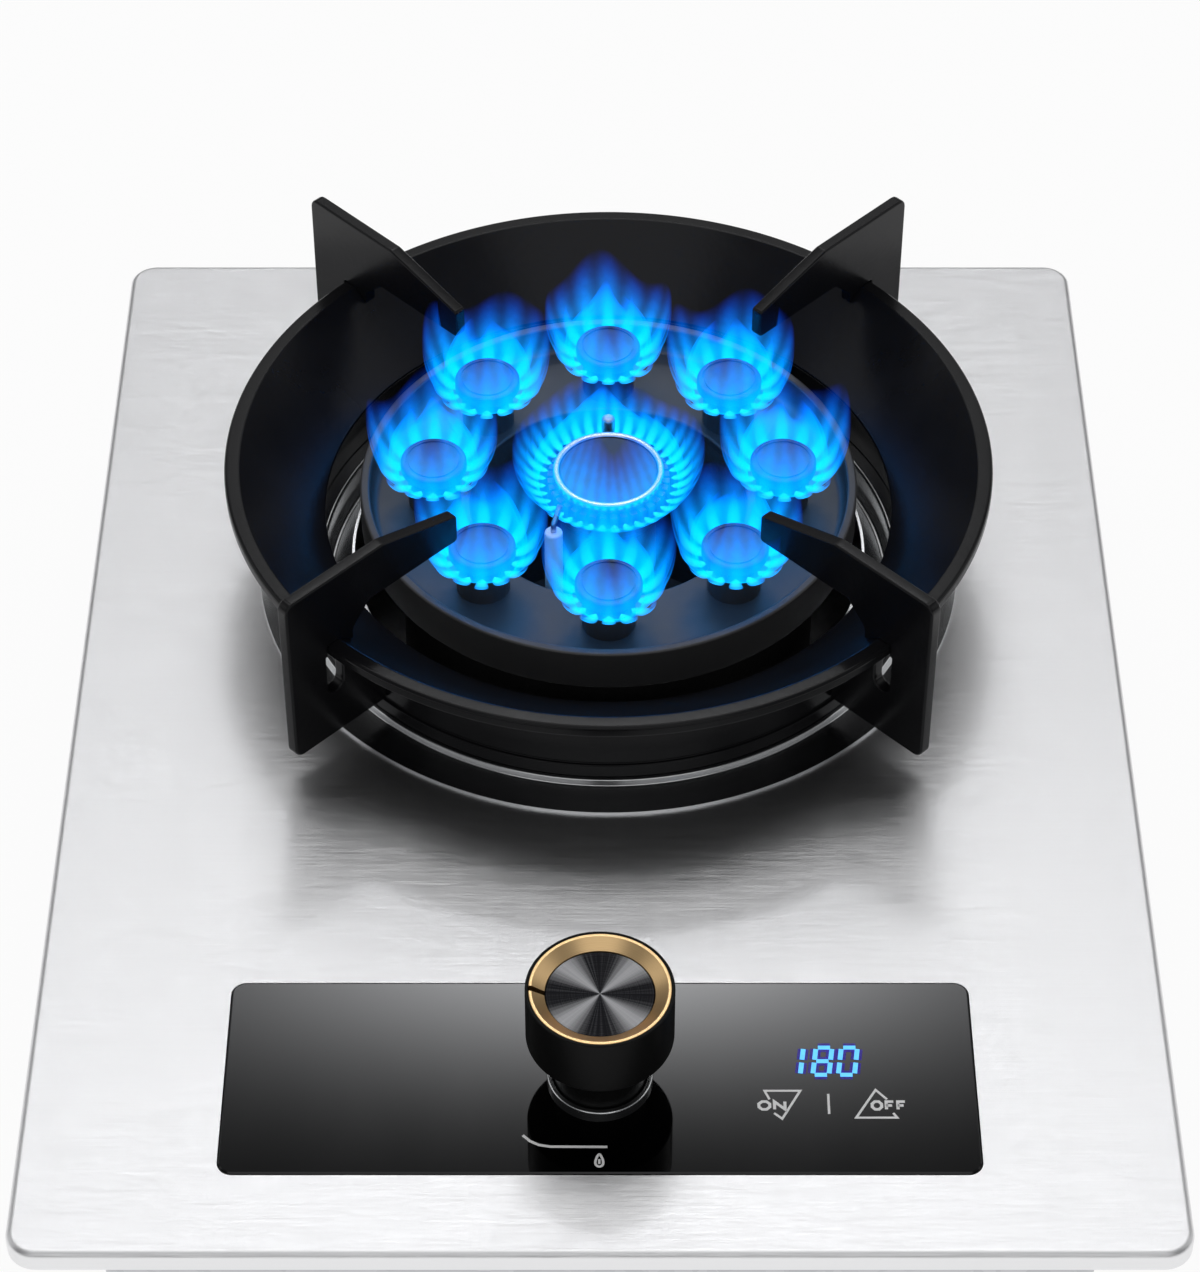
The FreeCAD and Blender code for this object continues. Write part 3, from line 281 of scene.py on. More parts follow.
def piece(name, shells, body, slot, stands_for=(), material=None, marks=None):
    """New piece from shells: doubles merged, faces turned outwards, smooth except on flat ends and sharp edges."""
    points, faces = joined(shells)
    mesh = bpy.data.meshes.new(name)
    mesh.from_pydata(points.tolist(), [], faces)
    for mark, values in (marks or {}).items():
        mesh.attributes.new(mark, "FLOAT", "POINT").data.foreach_set("value", np.ravel(values))
    work = bmesh.new()
    work.from_mesh(mesh)
    bmesh.ops.remove_doubles(work, verts=work.verts, dist=merge_gap)
    bmesh.ops.dissolve_degenerate(work, dist=sliver_width, edges=work.edges)
    bmesh.ops.recalc_face_normals(work, faces=work.faces)
    work.to_mesh(mesh)
    work.free()
    mesh.materials.append(material or finishes[slot])
    sides = np.empty(len(mesh.polygons), int)
    mesh.polygons.foreach_get("loop_total", sides)
    mesh.polygons.foreach_set("use_smooth", sides <= 4)
    mesh.set_sharp_from_angle(angle=sharp_angle)
    made = bpy.data.objects.new(name, mesh)
    bpy.context.scene.collection.objects.link(made)
    made.modifiers.new("even shading", "WEIGHTED_NORMAL").keep_sharp = True
    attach(made, body)
    if stands_for:
        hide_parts(*stands_for)
    return made


def ribbon(line, width, low, high, closed=False):
    """Flat bar along a line: each point moves half the width to both sides, along the mitre of its two runs."""
    line = np.asarray(line, float)
    ahead = np.roll(line, -1, 0) - line
    if not closed:
        ahead[-1] = ahead[-2]
    ahead /= np.linalg.norm(ahead, axis=1, keepdims=True)
    behind = np.roll(ahead, 1, 0)
    if not closed:
        behind[0] = ahead[0]
    side = np.stack([-(ahead + behind)[:, 1], (ahead + behind)[:, 0]], 1)
    normal = np.stack([-ahead[:, 1], ahead[:, 0]], 1)
    side *= (width / 2 / (side * normal).sum(1))[:, None]
    left, right = line + side, line - side
    levels = [(left, low), (right, low), (right, high), (left, high)]
    points = np.stack([np.column_stack([flat, np.full(len(flat), z)]) for flat, z in levels], 1)
    return points, grid(len(line), 4, closed, True), () if closed else flat_ends(len(line), 4)


def inked(lines, width, lift=0.0):
    """Bars for many lines in millimetres on the glass, each a (points, closed) pair."""
    low = glass_top + lift
    return [ribbon(np.multiply(points, millimetre), width, low, low + ink_height, closed) for points, closed in lines]


word_y, word_height = -158.6, 2.7


def letter(strokes, x, width):
    """A letter's strokes, drawn in a unit square, at their place and size in the row of words."""
    return [(np.multiply(points, (width, word_height)) + (x, word_y), closed) for points, closed in strokes]


letter_o = [([(0.3, 0), (0.7, 0), (1, 0.3), (1, 0.7), (0.7, 1), (0.3, 1), (0, 0.7), (0, 0.3)], True)]
letter_n = [([(0, 0), (0, 1), (1, 0), (1, 1)], False)]
letter_f = [([(0, 0), (0, 1), (1, 1)], False), ([(0, 0.5), (0.8, 0.5)], False)]
words = letter(letter_o, 43.9, 3.0) + letter(letter_n, 48.2, 2.9)
words += letter(letter_o, 75.2, 2.6) + letter(letter_f, 79.1, 2.0) + letter(letter_f, 82.3, 2.0)
drop_x, drop_y, drop_half_height, drop_lean_in = -0.2, -176.2, 2.1, 0.45
drop_turn = np.linspace(0, 2 * np.pi, 24, endpoint=False)
drop_across = np.sin(drop_turn) * (1 - drop_lean_in * np.cos(drop_turn))
drop_mark = np.column_stack([drop_x + drop_across, drop_y + drop_half_height * np.cos(drop_turn)])
thin_marks = [
    ([(46.9, -155.1), (45.6, -152.1), (55.5, -152.1), (50.2, -161.9), (48.0, -159.9)], False),
    ([(79.4, -155.1), (76.4, -151.8), (70.6, -161.5), (81.9, -161.5), (80.9, -159.9)], False),
    ([(63.2, -153.2), (63.2, -160.2)], False), (drop_mark, True), ([(drop_x, -177.4), (drop_x, -175.8)], False)]
long_marks = [([(-21.2, -167.6), (-19.2, -169.6), (-16.8, -170.9), (-13.6, -171.5), (2.0, -171.6)], False)]

thin_line, word_line, long_line = 0.00068, 0.00086, 0.0008
white_ink = cloudy_finish("white ink", (0.78, 0.78, 0.78), (0.9, 0.9, 0.9), 0.0003, (0.4, 0.55))
inked_shells = inked(thin_marks, thin_line) + inked(words, word_line) + inked(long_marks, long_line)
piece("glass_marks", inked_shells, "stove", "black_glass", material=white_ink)

digit_y, digit_height, digit_width, digit_lean, corner_gap = -146.5, 9.7, 4.5, 0.13, 0.55
halo_line, digit_line = 0.003, 0.00135
segment_ends = {"a": (0, 2, 1, 2), "b": (1, 2, 1, 1), "c": (1, 1, 1, 0), "d": (1, 0, 0, 0), "e": (0, 0, 0, 1),
                "f": (0, 1, 0, 2), "g": (0, 1, 1, 1)}


def digit(segments, x):
    """Bars of a seven-segment digit, drawn short of their corners and leaning to the right."""
    bars = []
    for name in segments:
        ends = np.array(segment_ends[name], float).reshape(2, 2) * (digit_width, digit_height / 2)
        run = ends[1] - ends[0]
        ends += np.outer((corner_gap, -corner_gap), run / np.linalg.norm(run))
        bars.append((ends @ np.array([[1, 0], [digit_lean, 1]]) + (x, digit_y), False))
    return bars


lit_bars = digit("bc", 51.2) + digit("abcdefg", 59.2) + digit("abcdef", 66.3)


def lit_blue(name, colour, strength, alpha):
    """Light from behind the glass, a little uneven along each bar."""
    material, value, shader = new_finish(name, (0.0, 0.0, 0.0), 0.4, Emission_Strength=strength, Alpha=alpha)
    glow = noise(value, here(value), 700.0)
    dim = tuple(0.7 * part for part in colour)
    feed(shader, "Emission Color", tint(value, glow, dim, colour))
    return material


halo = lit_blue("display halo", (0.06, 0.03, 0.6), 1.0, 0.3)
piece("display_halo", inked(lit_bars, halo_line), "stove", "black_glass", material=halo)
lit = lit_blue("display blue", (0.1, 0.5, 1.0), 1.6, 1.0)
piece("display_digits", inked(lit_bars, digit_line, ink_height), "stove", "black_glass", material=lit)


# Knob: a black anodised head on a narrower neck, with a gilt bevelled ring and a spun metal
# disc pressed into its top. The ring has one notch as the pointer. A bright collar stands on the glass.
def rounded(corners, steps=6):
    """Outline from (r, z, radius) corners: each becomes an arc that touches both of its sides."""
    corners = np.array(corners, float)
    place, radius = corners[:, :2], corners[:, 2]
    back = np.roll(place, 1, 0) - place
    ahead = np.roll(place, -1, 0) - place
    back /= np.linalg.norm(back, axis=1, keepdims=True)
    ahead /= np.linalg.norm(ahead, axis=1, keepdims=True)
    half = np.arccos(np.clip((back * ahead).sum(1), -1, 1)) / 2
    half = np.minimum(half, np.pi / 2 - 1e-4)
    middle = (back + ahead) / np.linalg.norm(back + ahead, axis=1, keepdims=True)
    centre = place + middle * (radius / np.sin(half))[:, None]
    first = place + back * (radius / np.tan(half))[:, None] - centre
    last = place + ahead * (radius / np.tan(half))[:, None] - centre
    sweep = (np.pi - 2 * half)[:, None]
    part = np.linspace(0, 1, steps)[None, :]
    from_first = np.sin((1 - part) * sweep) / np.sin(sweep)
    from_last = np.sin(part * sweep) / np.sin(sweep)
    arcs = from_first[..., None] * first[:, None] + from_last[..., None] * last[:, None]
    return (centre[:, None] + arcs).reshape(-1, 2)


def spun(outline, axis, closed=True, count=160, start=0.0, stop=2 * np.pi):
    """Turned surface: (r, z) goes to (r cos a, r sin a, z) round the axis, from one angle to the other."""
    whole = stop - start > 2 * np.pi - 1e-6
    turn = np.linspace(start, stop, count, endpoint=not whole)
    radius, height = outline.T
    points = np.stack([axis[0] + np.outer(np.cos(turn), radius), axis[1] + np.outer(np.sin(turn), radius),
                       np.broadcast_to(height, (count, len(height)))], -1)
    return points, grid(count, len(radius), whole, closed), () if whole else flat_ends(count, len(radius))


def middle_of(node):
    """The upright axis through the middle of a node's box."""
    low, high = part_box(node)
    return ((low.x + high.x) / 2, (low.y + high.y) / 2)


def spread_of(node):
    """Half the width, the lowest and the highest point of a node."""
    low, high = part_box(node)
    return (high.x - low.x) / 2, low.z, high.z


knob_axis = middle_of("knob_disc")
knob_radius, neck_low, knob_high = spread_of("knob_body")
neck_radius, head_height, knob_rim, bevel_depth = 0.013, 0.0194, 0.0009, 0.0045
seat_radius = knob_radius - knob_rim
head_low = knob_high - head_height
bore_radius, bore_top, hollow_radius = 0.0033, neck_low + 0.028, 0.004


def turned_lines(value, axis, pitch):
    """Noise that depends only on the distance from an axis, as a lathe tool leaves it."""
    flat = here(value, (1, 1, 0), (*axis, 0))
    distance = value.node("ShaderNodeVectorMath", {"operation": "LENGTH"}, {0: flat}, "Value")
    inputs = {"W": distance, "Scale": 1 / pitch, "Detail": 2.0}
    return value.node("ShaderNodeTexNoise", {"noise_dimensions": "1D"}, inputs, "Fac")


def gilt():
    """Gilt metal with fine turned lines."""
    material, value, shader = new_finish("gilt ring", (0.75, 0.5, 0.25), 0.25, 1.0)
    line = turned_lines(value, knob_axis, 0.00012)
    feed(shader, "Base Color", tint(value, line, (0.72, 0.46, 0.2), (0.92, 0.67, 0.37)))
    feed(shader, "Roughness", 0.26 + 0.1 * line)
    raised(value, shader, line, 0.1, 0.00005)
    return material


def spun_disc():
    """Turned lines, with a painted sheen worked out from the angle: a cross of light and dark sectors and faint rays,
    where a spun face would reflect the light.
    """
    material, value, shader = new_finish("spun disc", (0.3, 0.3, 0.31), 0.3, 1.0)
    flat = here(value, (1, 1, 0), (*knob_axis, 0))
    across = value.node("ShaderNodeSeparateXYZ", inputs={"Vector": flat}, output="X")
    along = value.node("ShaderNodeSeparateXYZ", inputs={"Vector": flat}, output="Y")
    angle = value.math("ARCTAN2", along, across)
    # Painted sheen: light and dark sectors and rays round the axis stand in for the light a spun face reflects.
    painted_sheen_sectors = value.math("SINE", angle * 2.0) ** 2.0
    ray = value.node("ShaderNodeTexNoise", {"noise_dimensions": "1D"}, {"W": angle, "Scale": 14.0}, "Fac")
    line = turned_lines(value, knob_axis, 0.0002)
    # Painted sheen mixed with the real tone of the turned lines.
    painted_sheen_and_lines = painted_sheen_sectors ** 2.4 * 0.46 + (ray - 0.5) * 0.16 + (line - 0.5) * 0.12
    feed(shader, "Base Color", tint(value, painted_sheen_and_lines, (0.006, 0.006, 0.007), (0.44, 0.44, 0.45)))
    feed(shader, "Roughness", 0.24 + 0.16 * line)
    raised(value, shader, line, 0.12, 0.00005)
    return material


finishes["knob_black"] = cloudy_finish("knob black", (0.003, 0.003, 0.003), (0.007, 0.007, 0.007), 0.0004,
                                       (0.3, 0.42), relief=0.08, Specular_IOR_Level=0.1)
finishes["gilt_trim"] = gilt()
finishes["spun_disc"] = spun_disc()
knob_outline = rounded([
    (bore_radius, neck_low, 0), (neck_radius, neck_low, 0.0004), (neck_radius, head_low, 0.0005),
    (knob_radius, head_low, 0.0007), (knob_radius, knob_high, 0.0004), (seat_radius, knob_high, 0.0003),
    (seat_radius, knob_high - bevel_depth, 0), (hollow_radius, knob_high - bevel_depth, 0),
    (hollow_radius, bore_top, 0), (bore_radius, bore_top, 0)])
piece("knob_head", [spun(knob_outline, knob_axis)], "knob", "knob_black", ["knob_body"])
ring_radius, ring_low, ring_high = spread_of("knob_bevel_ring")
disc_radius, disc_low, disc_high = spread_of("knob_disc")
ring_gap, ring_land, ring_drop, notch_width = 0.00005, 0.0009, 0.0022, 0.0017
ring_inner = disc_radius + ring_gap
ring_outline = rounded([
    (ring_inner, ring_low, 0), (ring_radius, ring_low, 0), (ring_radius, ring_high, 0.0002),
    (ring_radius - ring_land, ring_high, 0.0004), (ring_inner, ring_high - ring_drop, 0.0002)])
notch = notch_width / 2 / ((ring_radius + ring_inner) / 2)
ring_shell = spun(ring_outline, knob_axis, start=notch - np.pi, stop=np.pi - notch)
piece("knob_ring", [ring_shell], "knob", "gilt_trim", ["knob_bevel_ring"])
disc_outline = rounded([(0, disc_high, 0), (disc_radius, disc_high, 0.0003), (disc_radius, disc_low, 0),
                        (0, disc_low, 0)])
piece("knob_face", [spun(disc_outline, knob_axis, False)], "knob", "spun_disc", ["knob_disc"])


# Return spring: hardened steel wire wound in five turns round the valve stem. Its foot stands on the valve plug and
# its head bears on the stem's collar, so on the stove it shortens as the knob is pushed; here it is one fixed coil
# that rides with the valve plug.
def wound(axis, radius, low, high, turns, wire):
    """Wire along a helix: a ring as thick as the wire turns round the axis and rises evenly from low to high."""
    steps, sides = turns * 24 + 1, 10
    along = np.linspace(0, 1, steps)[:, None]
    turn = 2 * np.pi * turns * along
    ring = np.linspace(0, 2 * np.pi, sides, endpoint=False)
    reach = radius + wire / 2 * np.cos(ring)
    height = low + (high - low) * along + wire / 2 * np.sin(ring)
    points = np.stack([axis[0] + reach * np.cos(turn), axis[1] + reach * np.sin(turn), height], -1)
    return points, grid(steps, sides, False, True), flat_ends(steps, sides)


coil_turns, coil_wire, push_travel = 5, 0.001, 0.003
half_wire = coil_wire / 2
coil_reach, coil_low, coil_high = spread_of("return_spring")
coil_shell = wound(knob_axis, coil_reach - half_wire, coil_low + half_wire, coil_high - half_wire,
                   coil_turns, coil_wire)
coil = piece("spring_coil", [coil_shell], "valve_plug", "spring_steel", ["return_spring"])
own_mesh(coil)


# Drip tray: one polished stainless ring pressed from thin sheet, with a flange on the panel,
# a land that carries the wind shield, a bowl for spills and a collar inside. It lifts out.
burner_axis = middle_of("drip_tray")


def sheet_outline(path, thickness):
    """Section of a sheet: the path, and the same path moved one thickness along the mitre to its right."""
    line = np.array(path, float)[:, :2]
    bend = np.array(path, float)[:, 2]
    ahead = np.diff(line, axis=0)
    ahead /= np.linalg.norm(ahead, axis=1, keepdims=True)
    after, before = np.vstack([ahead, ahead[-1:]]), np.vstack([ahead[:1], ahead])
    normal = np.stack([after[:, 1], -after[:, 0]], 1)
    mitre = np.stack([(after + before)[:, 1], -(after + before)[:, 0]], 1)
    mitre *= (thickness / (mitre * normal).sum(1))[:, None]
    hand = np.sign(before[:, 0] * after[:, 1] - before[:, 1] * after[:, 0])
    inner = np.where(hand > 0, bend, np.maximum(bend - thickness, 0))
    outer = np.where(hand > 0, bend + thickness, bend) * (bend > 0)
    inner = inner * (bend > 0)
    near, far = np.where(hand > 0, inner, bend), np.where(hand > 0, outer, inner)
    top = np.column_stack([line, near])
    under = np.column_stack([line + mitre, far])[::-1]
    return np.vstack([top, under])


def polished_steel():
    """Polished sheet: faint rings from the press and fine hairlines in the gloss."""
    material, value, shader = new_finish("polished steel", (0.72, 0.73, 0.74), 0.1, 1.0)
    line = turned_lines(value, burner_axis, 0.0004)
    smear = noise(value, here(value), 60.0)
    feed(shader, "Base Color", tint(value, smear, (0.66, 0.67, 0.68), (0.78, 0.79, 0.8)))
    feed(shader, "Roughness", 0.13 + 0.05 * line + 0.08 * smear)
    raised(value, shader, line, 0.05, 0.00005)
    return material


finishes["polished_steel"] = polished_steel()
tray_radius = spread_of("drip_tray")[0]
tray_sheet, tray_land, tray_bowl, tray_collar = 0.0008, 0.0026, 0.008, 0.006
collar_radius, bowl_radius, land_outer = 0.0806, 0.0896, 0.0983
tray_path = [
    (collar_radius, panel_top + tray_collar, 0), (collar_radius, panel_top - tray_bowl, 0.0022),
    (bowl_radius, panel_top - tray_bowl, 0.0022), (bowl_radius, panel_top + tray_land, 0.0012),
    (land_outer, panel_top + tray_land, 0.0005), (land_outer + tray_sheet, panel_top + tray_sheet, 0.0004),
    (tray_radius, panel_top + tray_sheet, 0)]
tray_shell = spun(rounded(sheet_outline(tray_path, tray_sheet)), burner_axis, count=224)
piece("drip_ring", [tray_shell], "drip_tray", "polished_steel", ["drip_tray"])


# Burner: a shallow black dish with eight ported cups round a centre head, all satin black
# castings that stand on the casting below. Each cup has a loose cap; the centre cap has a bright ring.
finishes["burner_black"] = cloudy_finish("satin burner black", (0.032, 0.032, 0.033), (0.052, 0.052, 0.054), 0.0007,
                                         (0.3, 0.44), relief=0.12)
dish_radius, dish_low, dish_rim = spread_of("burner_dish")
dish_wall, dish_floor_top, dish_floor, dish_inner = 0.003, panel_top + 0.025, 0.003, 0.043
wall_inner = dish_radius - dish_wall
dish_outline = rounded([
    (dish_inner, dish_floor_top - dish_floor, 0), (wall_inner, dish_floor_top - dish_floor, 0),
    (wall_inner, dish_low, 0), (dish_radius, dish_low, 0.0006), (dish_radius, dish_rim, 0.0008),
    (wall_inner, dish_rim, 0.0008), (wall_inner, dish_floor_top, 0.003), (dish_inner, dish_floor_top, 0.0008)])
dish_shell = spun(dish_outline, burner_axis, count=224)
piece("dish_ring", [dish_shell], "stove", "burner_black", ["burner_dish"])


def ported_ring(axis, inner, outer, low, sill, top, count, port_width):
    """Round wall with slots open at the top: the height of its top edge steps between two levels round the axis."""
    half = port_width / 2 / outer
    tooth = 2 * np.pi / count
    crown = np.linspace(half, tooth - half, 6)
    steps = np.concatenate([crown, [tooth - half, tooth + half]])
    tall = np.arange(len(steps)) < len(crown)
    turn = (np.arange(count)[:, None] * tooth + steps).ravel()
    crest = np.where(np.tile(tall, count), top, sill)
    radius = np.array([inner, outer, outer, inner])
    height = np.stack([np.full_like(crest, low), np.full_like(crest, low), crest, crest], 1)
    points = np.stack([axis[0] + np.outer(np.cos(turn), radius), axis[1] + np.outer(np.sin(turn), radius), height], -1)
    return points, grid(len(turn), 4, True, True), ()


cup_bore, cup_radius, cup_pitch, cup_count = 0.0054, 0.0082, 0.054, 8
cup_low, cup_top = spread_of("burner_cups")[1:]
cup_port_height, cup_port_width, cup_port_count = 0.003, 0.0016, 14
cup_turn = np.arange(cup_count) * 2 * np.pi / cup_count
cup_axes = np.column_stack([np.cos(cup_turn), np.sin(cup_turn)]) * cup_pitch + burner_axis
cup_shells = [ported_ring(axis, cup_bore, cup_radius, cup_low, cup_top - cup_port_height, cup_top, cup_port_count,
                          cup_port_width) for axis in cup_axes]
piece("cup_walls", cup_shells, "stove", "burner_black", ["burner_cups"])

groove_outer, groove_inner, groove_depth, spigot_gap = 0.0086, 0.0079, 0.0004, 0.0003
spigot = cup_bore - spigot_gap
for number in range(1, cup_count + 1):
    node = f"flame_cap_{number}"
    cap_radius, spigot_low, cap_high = spread_of(node)
    cap_outline = rounded([
        (0, cap_high, 0), (groove_inner, cap_high, 0.0001), (groove_inner, cap_high - groove_depth, 0),
        (groove_outer, cap_high - groove_depth, 0), (groove_outer, cap_high, 0.0001),
        (cap_radius, cap_high, 0.0009), (cap_radius, cup_top, 0.0004), (spigot, cup_top, 0),
        (spigot, spigot_low, 0.0003), (0, spigot_low, 0)])
    cap_shell = spun(cap_outline, middle_of(node), False, 72)
    piece(f"cap_{number}", [cap_shell], node, "burner_black", [node])

head_radius, head_foot, head_high = spread_of("centre_head")
head_bore, column_radius, column_flare = 0.011, 0.015, 0.006
head_port_height, head_port_width, head_port_count, tooth_root = 0.003, 0.001, 36, 0.0005
head_sill = head_high - head_port_height
head_outline = rounded([
    (head_bore, head_foot, 0), (column_radius, head_foot, 0.0004), (head_radius, head_foot + column_flare, 0.0006),
    (head_radius, head_sill, 0), (head_bore, head_sill, 0)])
head_teeth = ported_ring(burner_axis, head_bore, head_radius, head_sill - tooth_root, head_sill, head_high,
                         head_port_count, head_port_width)
piece("centre_burner", [spun(head_outline, burner_axis), head_teeth], "stove", "burner_black", ["centre_head"])
hub_radius, hub_low, hub_high = spread_of("centre_cap")
trim_radius, trim_low, trim_high = spread_of("centre_cap_ring")
trim_width, trim_gap = 0.002, 0.00005
trim_inner, hub_spigot = trim_radius - trim_width, head_bore - spigot_gap
crown_radius = trim_inner - trim_gap
hub_outline = rounded([
    (0, hub_high, 0), (crown_radius, hub_high, 0.0005), (crown_radius, trim_low, 0), (hub_radius, trim_low, 0),
    (hub_radius, head_high, 0.0003), (hub_spigot, head_high, 0), (hub_spigot, hub_low, 0.0005), (0, hub_low, 0)])
piece("centre_lid", [spun(hub_outline, burner_axis, False)], "centre_cap", "burner_black", ["centre_cap"])
trim_outline = rounded([(trim_inner, trim_low, 0), (trim_radius, trim_low, 0), (trim_radius, trim_high, 0.0007),
                        (trim_inner, trim_high, 0.0007)])
piece("centre_trim", [spun(trim_outline, burner_axis)], "centre_cap", "polished_steel", ["centre_cap_ring"])


# Wind shield: a steel funnel with a square rolled rim, a skirt with a hem that stands on the
# drip tray, and four upright plates welded through the rim that hold the pan. All enamelled black.
def black_enamel():
    """Glossy enamel: a slow orange-peel ripple, and a thinner, greyer coat in small patches."""
    material, value, shader = new_finish("black enamel", (0.006, 0.006, 0.007), 0.22, Specular_IOR_Level=0.2)
    place = here(value)
    peel = noise(value, place, 420.0, 1.0)
    patch = noise(value, place, 45.0)
    feed(shader, "Base Color", tint(value, patch, (0.004, 0.004, 0.005), (0.009, 0.009, 0.01)))
    feed(shader, "Roughness", 0.16 + 0.14 * patch)
    raised(value, shader, peel, 0.05, 0.0006)
    return material


finishes["black_enamel"] = black_enamel()
rim_radius, _, rim_high = spread_of("wind_shield")
lip_radius, lip_high, rim_width, rim_drop, funnel_sheet = 0.0876, panel_top + 0.0252, 0.0045, 0.004, 0.003
slope = math.atan2(rim_high - lip_high, rim_radius - rim_width - lip_radius)
under_radius = lip_radius + funnel_sheet * math.sin(slope)
under_high = lip_high - funnel_sheet * math.cos(slope)
rim_low = rim_high - rim_drop
joint_radius = under_radius + (rim_low - under_high) / math.tan(slope)


def funnel_under(radius):
    """Height of the funnel's underside at a radius, on its straight slope."""
    return under_high + (radius - under_radius) * math.tan(slope)


def funnel_inside(radius):
    """Height of the funnel's inner face at a radius, on its straight slope."""
    return lip_high + (radius - lip_radius) * math.tan(slope)


funnel_outline = rounded([
    (lip_radius, lip_high, 0.001), (under_radius, under_high, 0.001), (joint_radius, rim_low, 0.0008),
    (rim_radius, rim_low, 0.0008), (rim_radius, rim_high, 0.0012), (rim_radius - rim_width, rim_high, 0.0012)])
funnel_shell = spun(funnel_outline, burner_axis, count=256)
piece("shield_funnel", [funnel_shell], "pan_support", "black_enamel", ["wind_shield"])
hem_radius, skirt_low = spread_of("shield_skirt")[:2]
hem_step, hem_height, skirt_sheet = 0.0009, 0.0052, 0.002
skirt_radius = hem_radius - hem_step
skirt_inner = skirt_radius - skirt_sheet
skirt_outline = rounded([
    (skirt_inner, skirt_low, 0.0005), (hem_radius, skirt_low, 0.0008), (hem_radius, skirt_low + hem_height, 0.0006),
    (skirt_radius, skirt_low + hem_height, 0.0003), (skirt_radius, funnel_under(skirt_radius), 0),
    (skirt_inner, funnel_under(skirt_inner), 0)])
skirt_shell = spun(skirt_outline, burner_axis, count=256)
piece("shield_wall", [skirt_shell], "pan_support", "black_enamel", ["shield_skirt"])

fin_outer, fin_top, fin_foot, fin_thick, fin_edge = 0.133, panel_top + 0.071, panel_top + 0.0085, 0.004, 0.0007
fin_tip, fin_flat, tip_top, arm_low = 0.0655, 0.095, panel_top + 0.063, panel_top + 0.053
arm_root, fin_root, root_drop, slot_radius, slot_half = 0.101, 0.108, 0.007, 0.116, 0.003
slot_low = panel_top + 0.026
fin_corners = [
    (skirt_radius, fin_foot, 0.0008), (fin_outer, fin_foot, 0.003), (fin_outer, fin_top, 0.003),
    (fin_flat, fin_top, 0.004), (fin_tip, tip_top, 0.0014), (fin_tip, arm_low, 0.0014), (arm_root, arm_low, 0.003),
    (fin_root, arm_low - root_drop, 0.002), (fin_root, funnel_inside(fin_root), 0.0008),
    (rim_radius - rim_width, rim_high, 0.0003), (rim_radius, rim_high, 0.0003), (rim_radius, rim_low, 0.0003),
    (slot_radius + slot_half, rim_low, 0.0008), (slot_radius + slot_half, slot_low, 0.0028),
    (slot_radius - slot_half, slot_low, 0.0028),
    (slot_radius - slot_half, funnel_under(slot_radius - slot_half), 0.0008),
    (skirt_radius, funnel_under(skirt_radius), 0.0008)]
fin_outline = rounded(fin_corners, 5)


def plate(outline, thickness, edge, turn, axis):
    """Upright plate: its outline drawn in by a quarter-round at both faces, then turned to its place."""
    ahead = np.roll(outline, -1, 0) - outline
    ahead /= np.maximum(np.linalg.norm(ahead, axis=1, keepdims=True), 1e-12)
    behind = np.roll(ahead, 1, 0)
    inward = np.stack([-(ahead + behind)[:, 1], (ahead + behind)[:, 0]], 1)
    inward /= np.maximum(np.linalg.norm(inward, axis=1, keepdims=True), 1e-12)
    bend = np.linspace(0, np.pi / 2, 4)
    draw = edge * np.concatenate([1 - np.sin(bend), (1 - np.sin(bend))[::-1]])
    side = (thickness / 2 - edge) + edge * np.cos(bend)
    side = np.concatenate([-side, side[::-1]])
    flat = outline[None] + draw[:, None, None] * inward[None]
    across = np.broadcast_to(side[:, None], flat.shape[:2])
    points = np.stack([axis[0] + flat[..., 0] * math.cos(turn) - across * math.sin(turn),
                       axis[1] + flat[..., 0] * math.sin(turn) + across * math.cos(turn), flat[..., 1]], -1)
    return points, grid(len(side), len(outline), False, True), flat_ends(len(side), len(outline))


for number in range(1, 5):
    fin_turn = math.radians(90 * number - 45)
    fin_shell = plate(fin_outline, fin_thick, fin_edge, fin_turn, burner_axis)
    piece(f"fin_{number}", [fin_shell], "pan_support", "black_enamel", [f"pan_fin_{number}"])


# Burning gas at the ports: thin blue petals that leave the slots level and bend upwards, in a
# faint haze that flares round them and closes over the cap. All of it fades at the tip. It is
# light, not metal, and stays with the cups when a cap is lifted.
petal_along = np.linspace(0, 1, 14)
petal_ring = np.linspace(0, 2 * np.pi, 12, endpoint=False)
mantle_along = np.concatenate([petal_along, petal_along[-2:0:-1]])
mantle_wall, mantle_steps, streak_depth, bud_root = 0.0005, 8, 0.85, 0.3


def petals(axis, start, low, count, reach, rise, width):
    """Lens-shaped sheets on bent paths: out fast at first, then up, swelling and closing at both ends."""
    number = np.arange(count)[:, None]
    tall = 1 + 0.14 * np.sin(number * 2.4 + axis[0] * 900) + 0.08 * np.sin(number * 5.1 + axis[1] * 700)
    turn = ((number + 0.5) * 2 * np.pi / count)[:, :, None]
    out = start + reach * (1 - (1 - petal_along) ** 2.4)
    up = low + rise * tall * petal_along ** 1.7
    swell = width * np.sin(np.pi * petal_along ** 0.62) ** 0.75
    radial = (out[:, None] + 0.3 * swell[:, None] * np.sin(petal_ring))[None]
    sideways = (swell[:, None] * np.cos(petal_ring))[None]
    height = np.broadcast_to(up[:, :, None], (count, len(petal_along), len(petal_ring)))
    points = np.stack([axis[0] + radial * np.cos(turn) - sideways * np.sin(turn),
                       axis[1] + radial * np.sin(turn) + sideways * np.cos(turn), height], -1)
    one = grid(len(petal_along), len(petal_ring), False, True)
    starts = np.arange(count)[:, None, None] * len(petal_along) * len(petal_ring)
    return points, (one[None] + starts).reshape(-1, 4), ()


def petal_marks(count):
    """How far along its petal each point lies, from 0 to 1, and how far across, from -1 to 1."""
    along = np.broadcast_to(petal_along[None, :, None], (count, len(petal_along), len(petal_ring)))
    across = np.broadcast_to(np.cos(petal_ring)[None, None, :], along.shape)
    return {"along": along, "across": across}


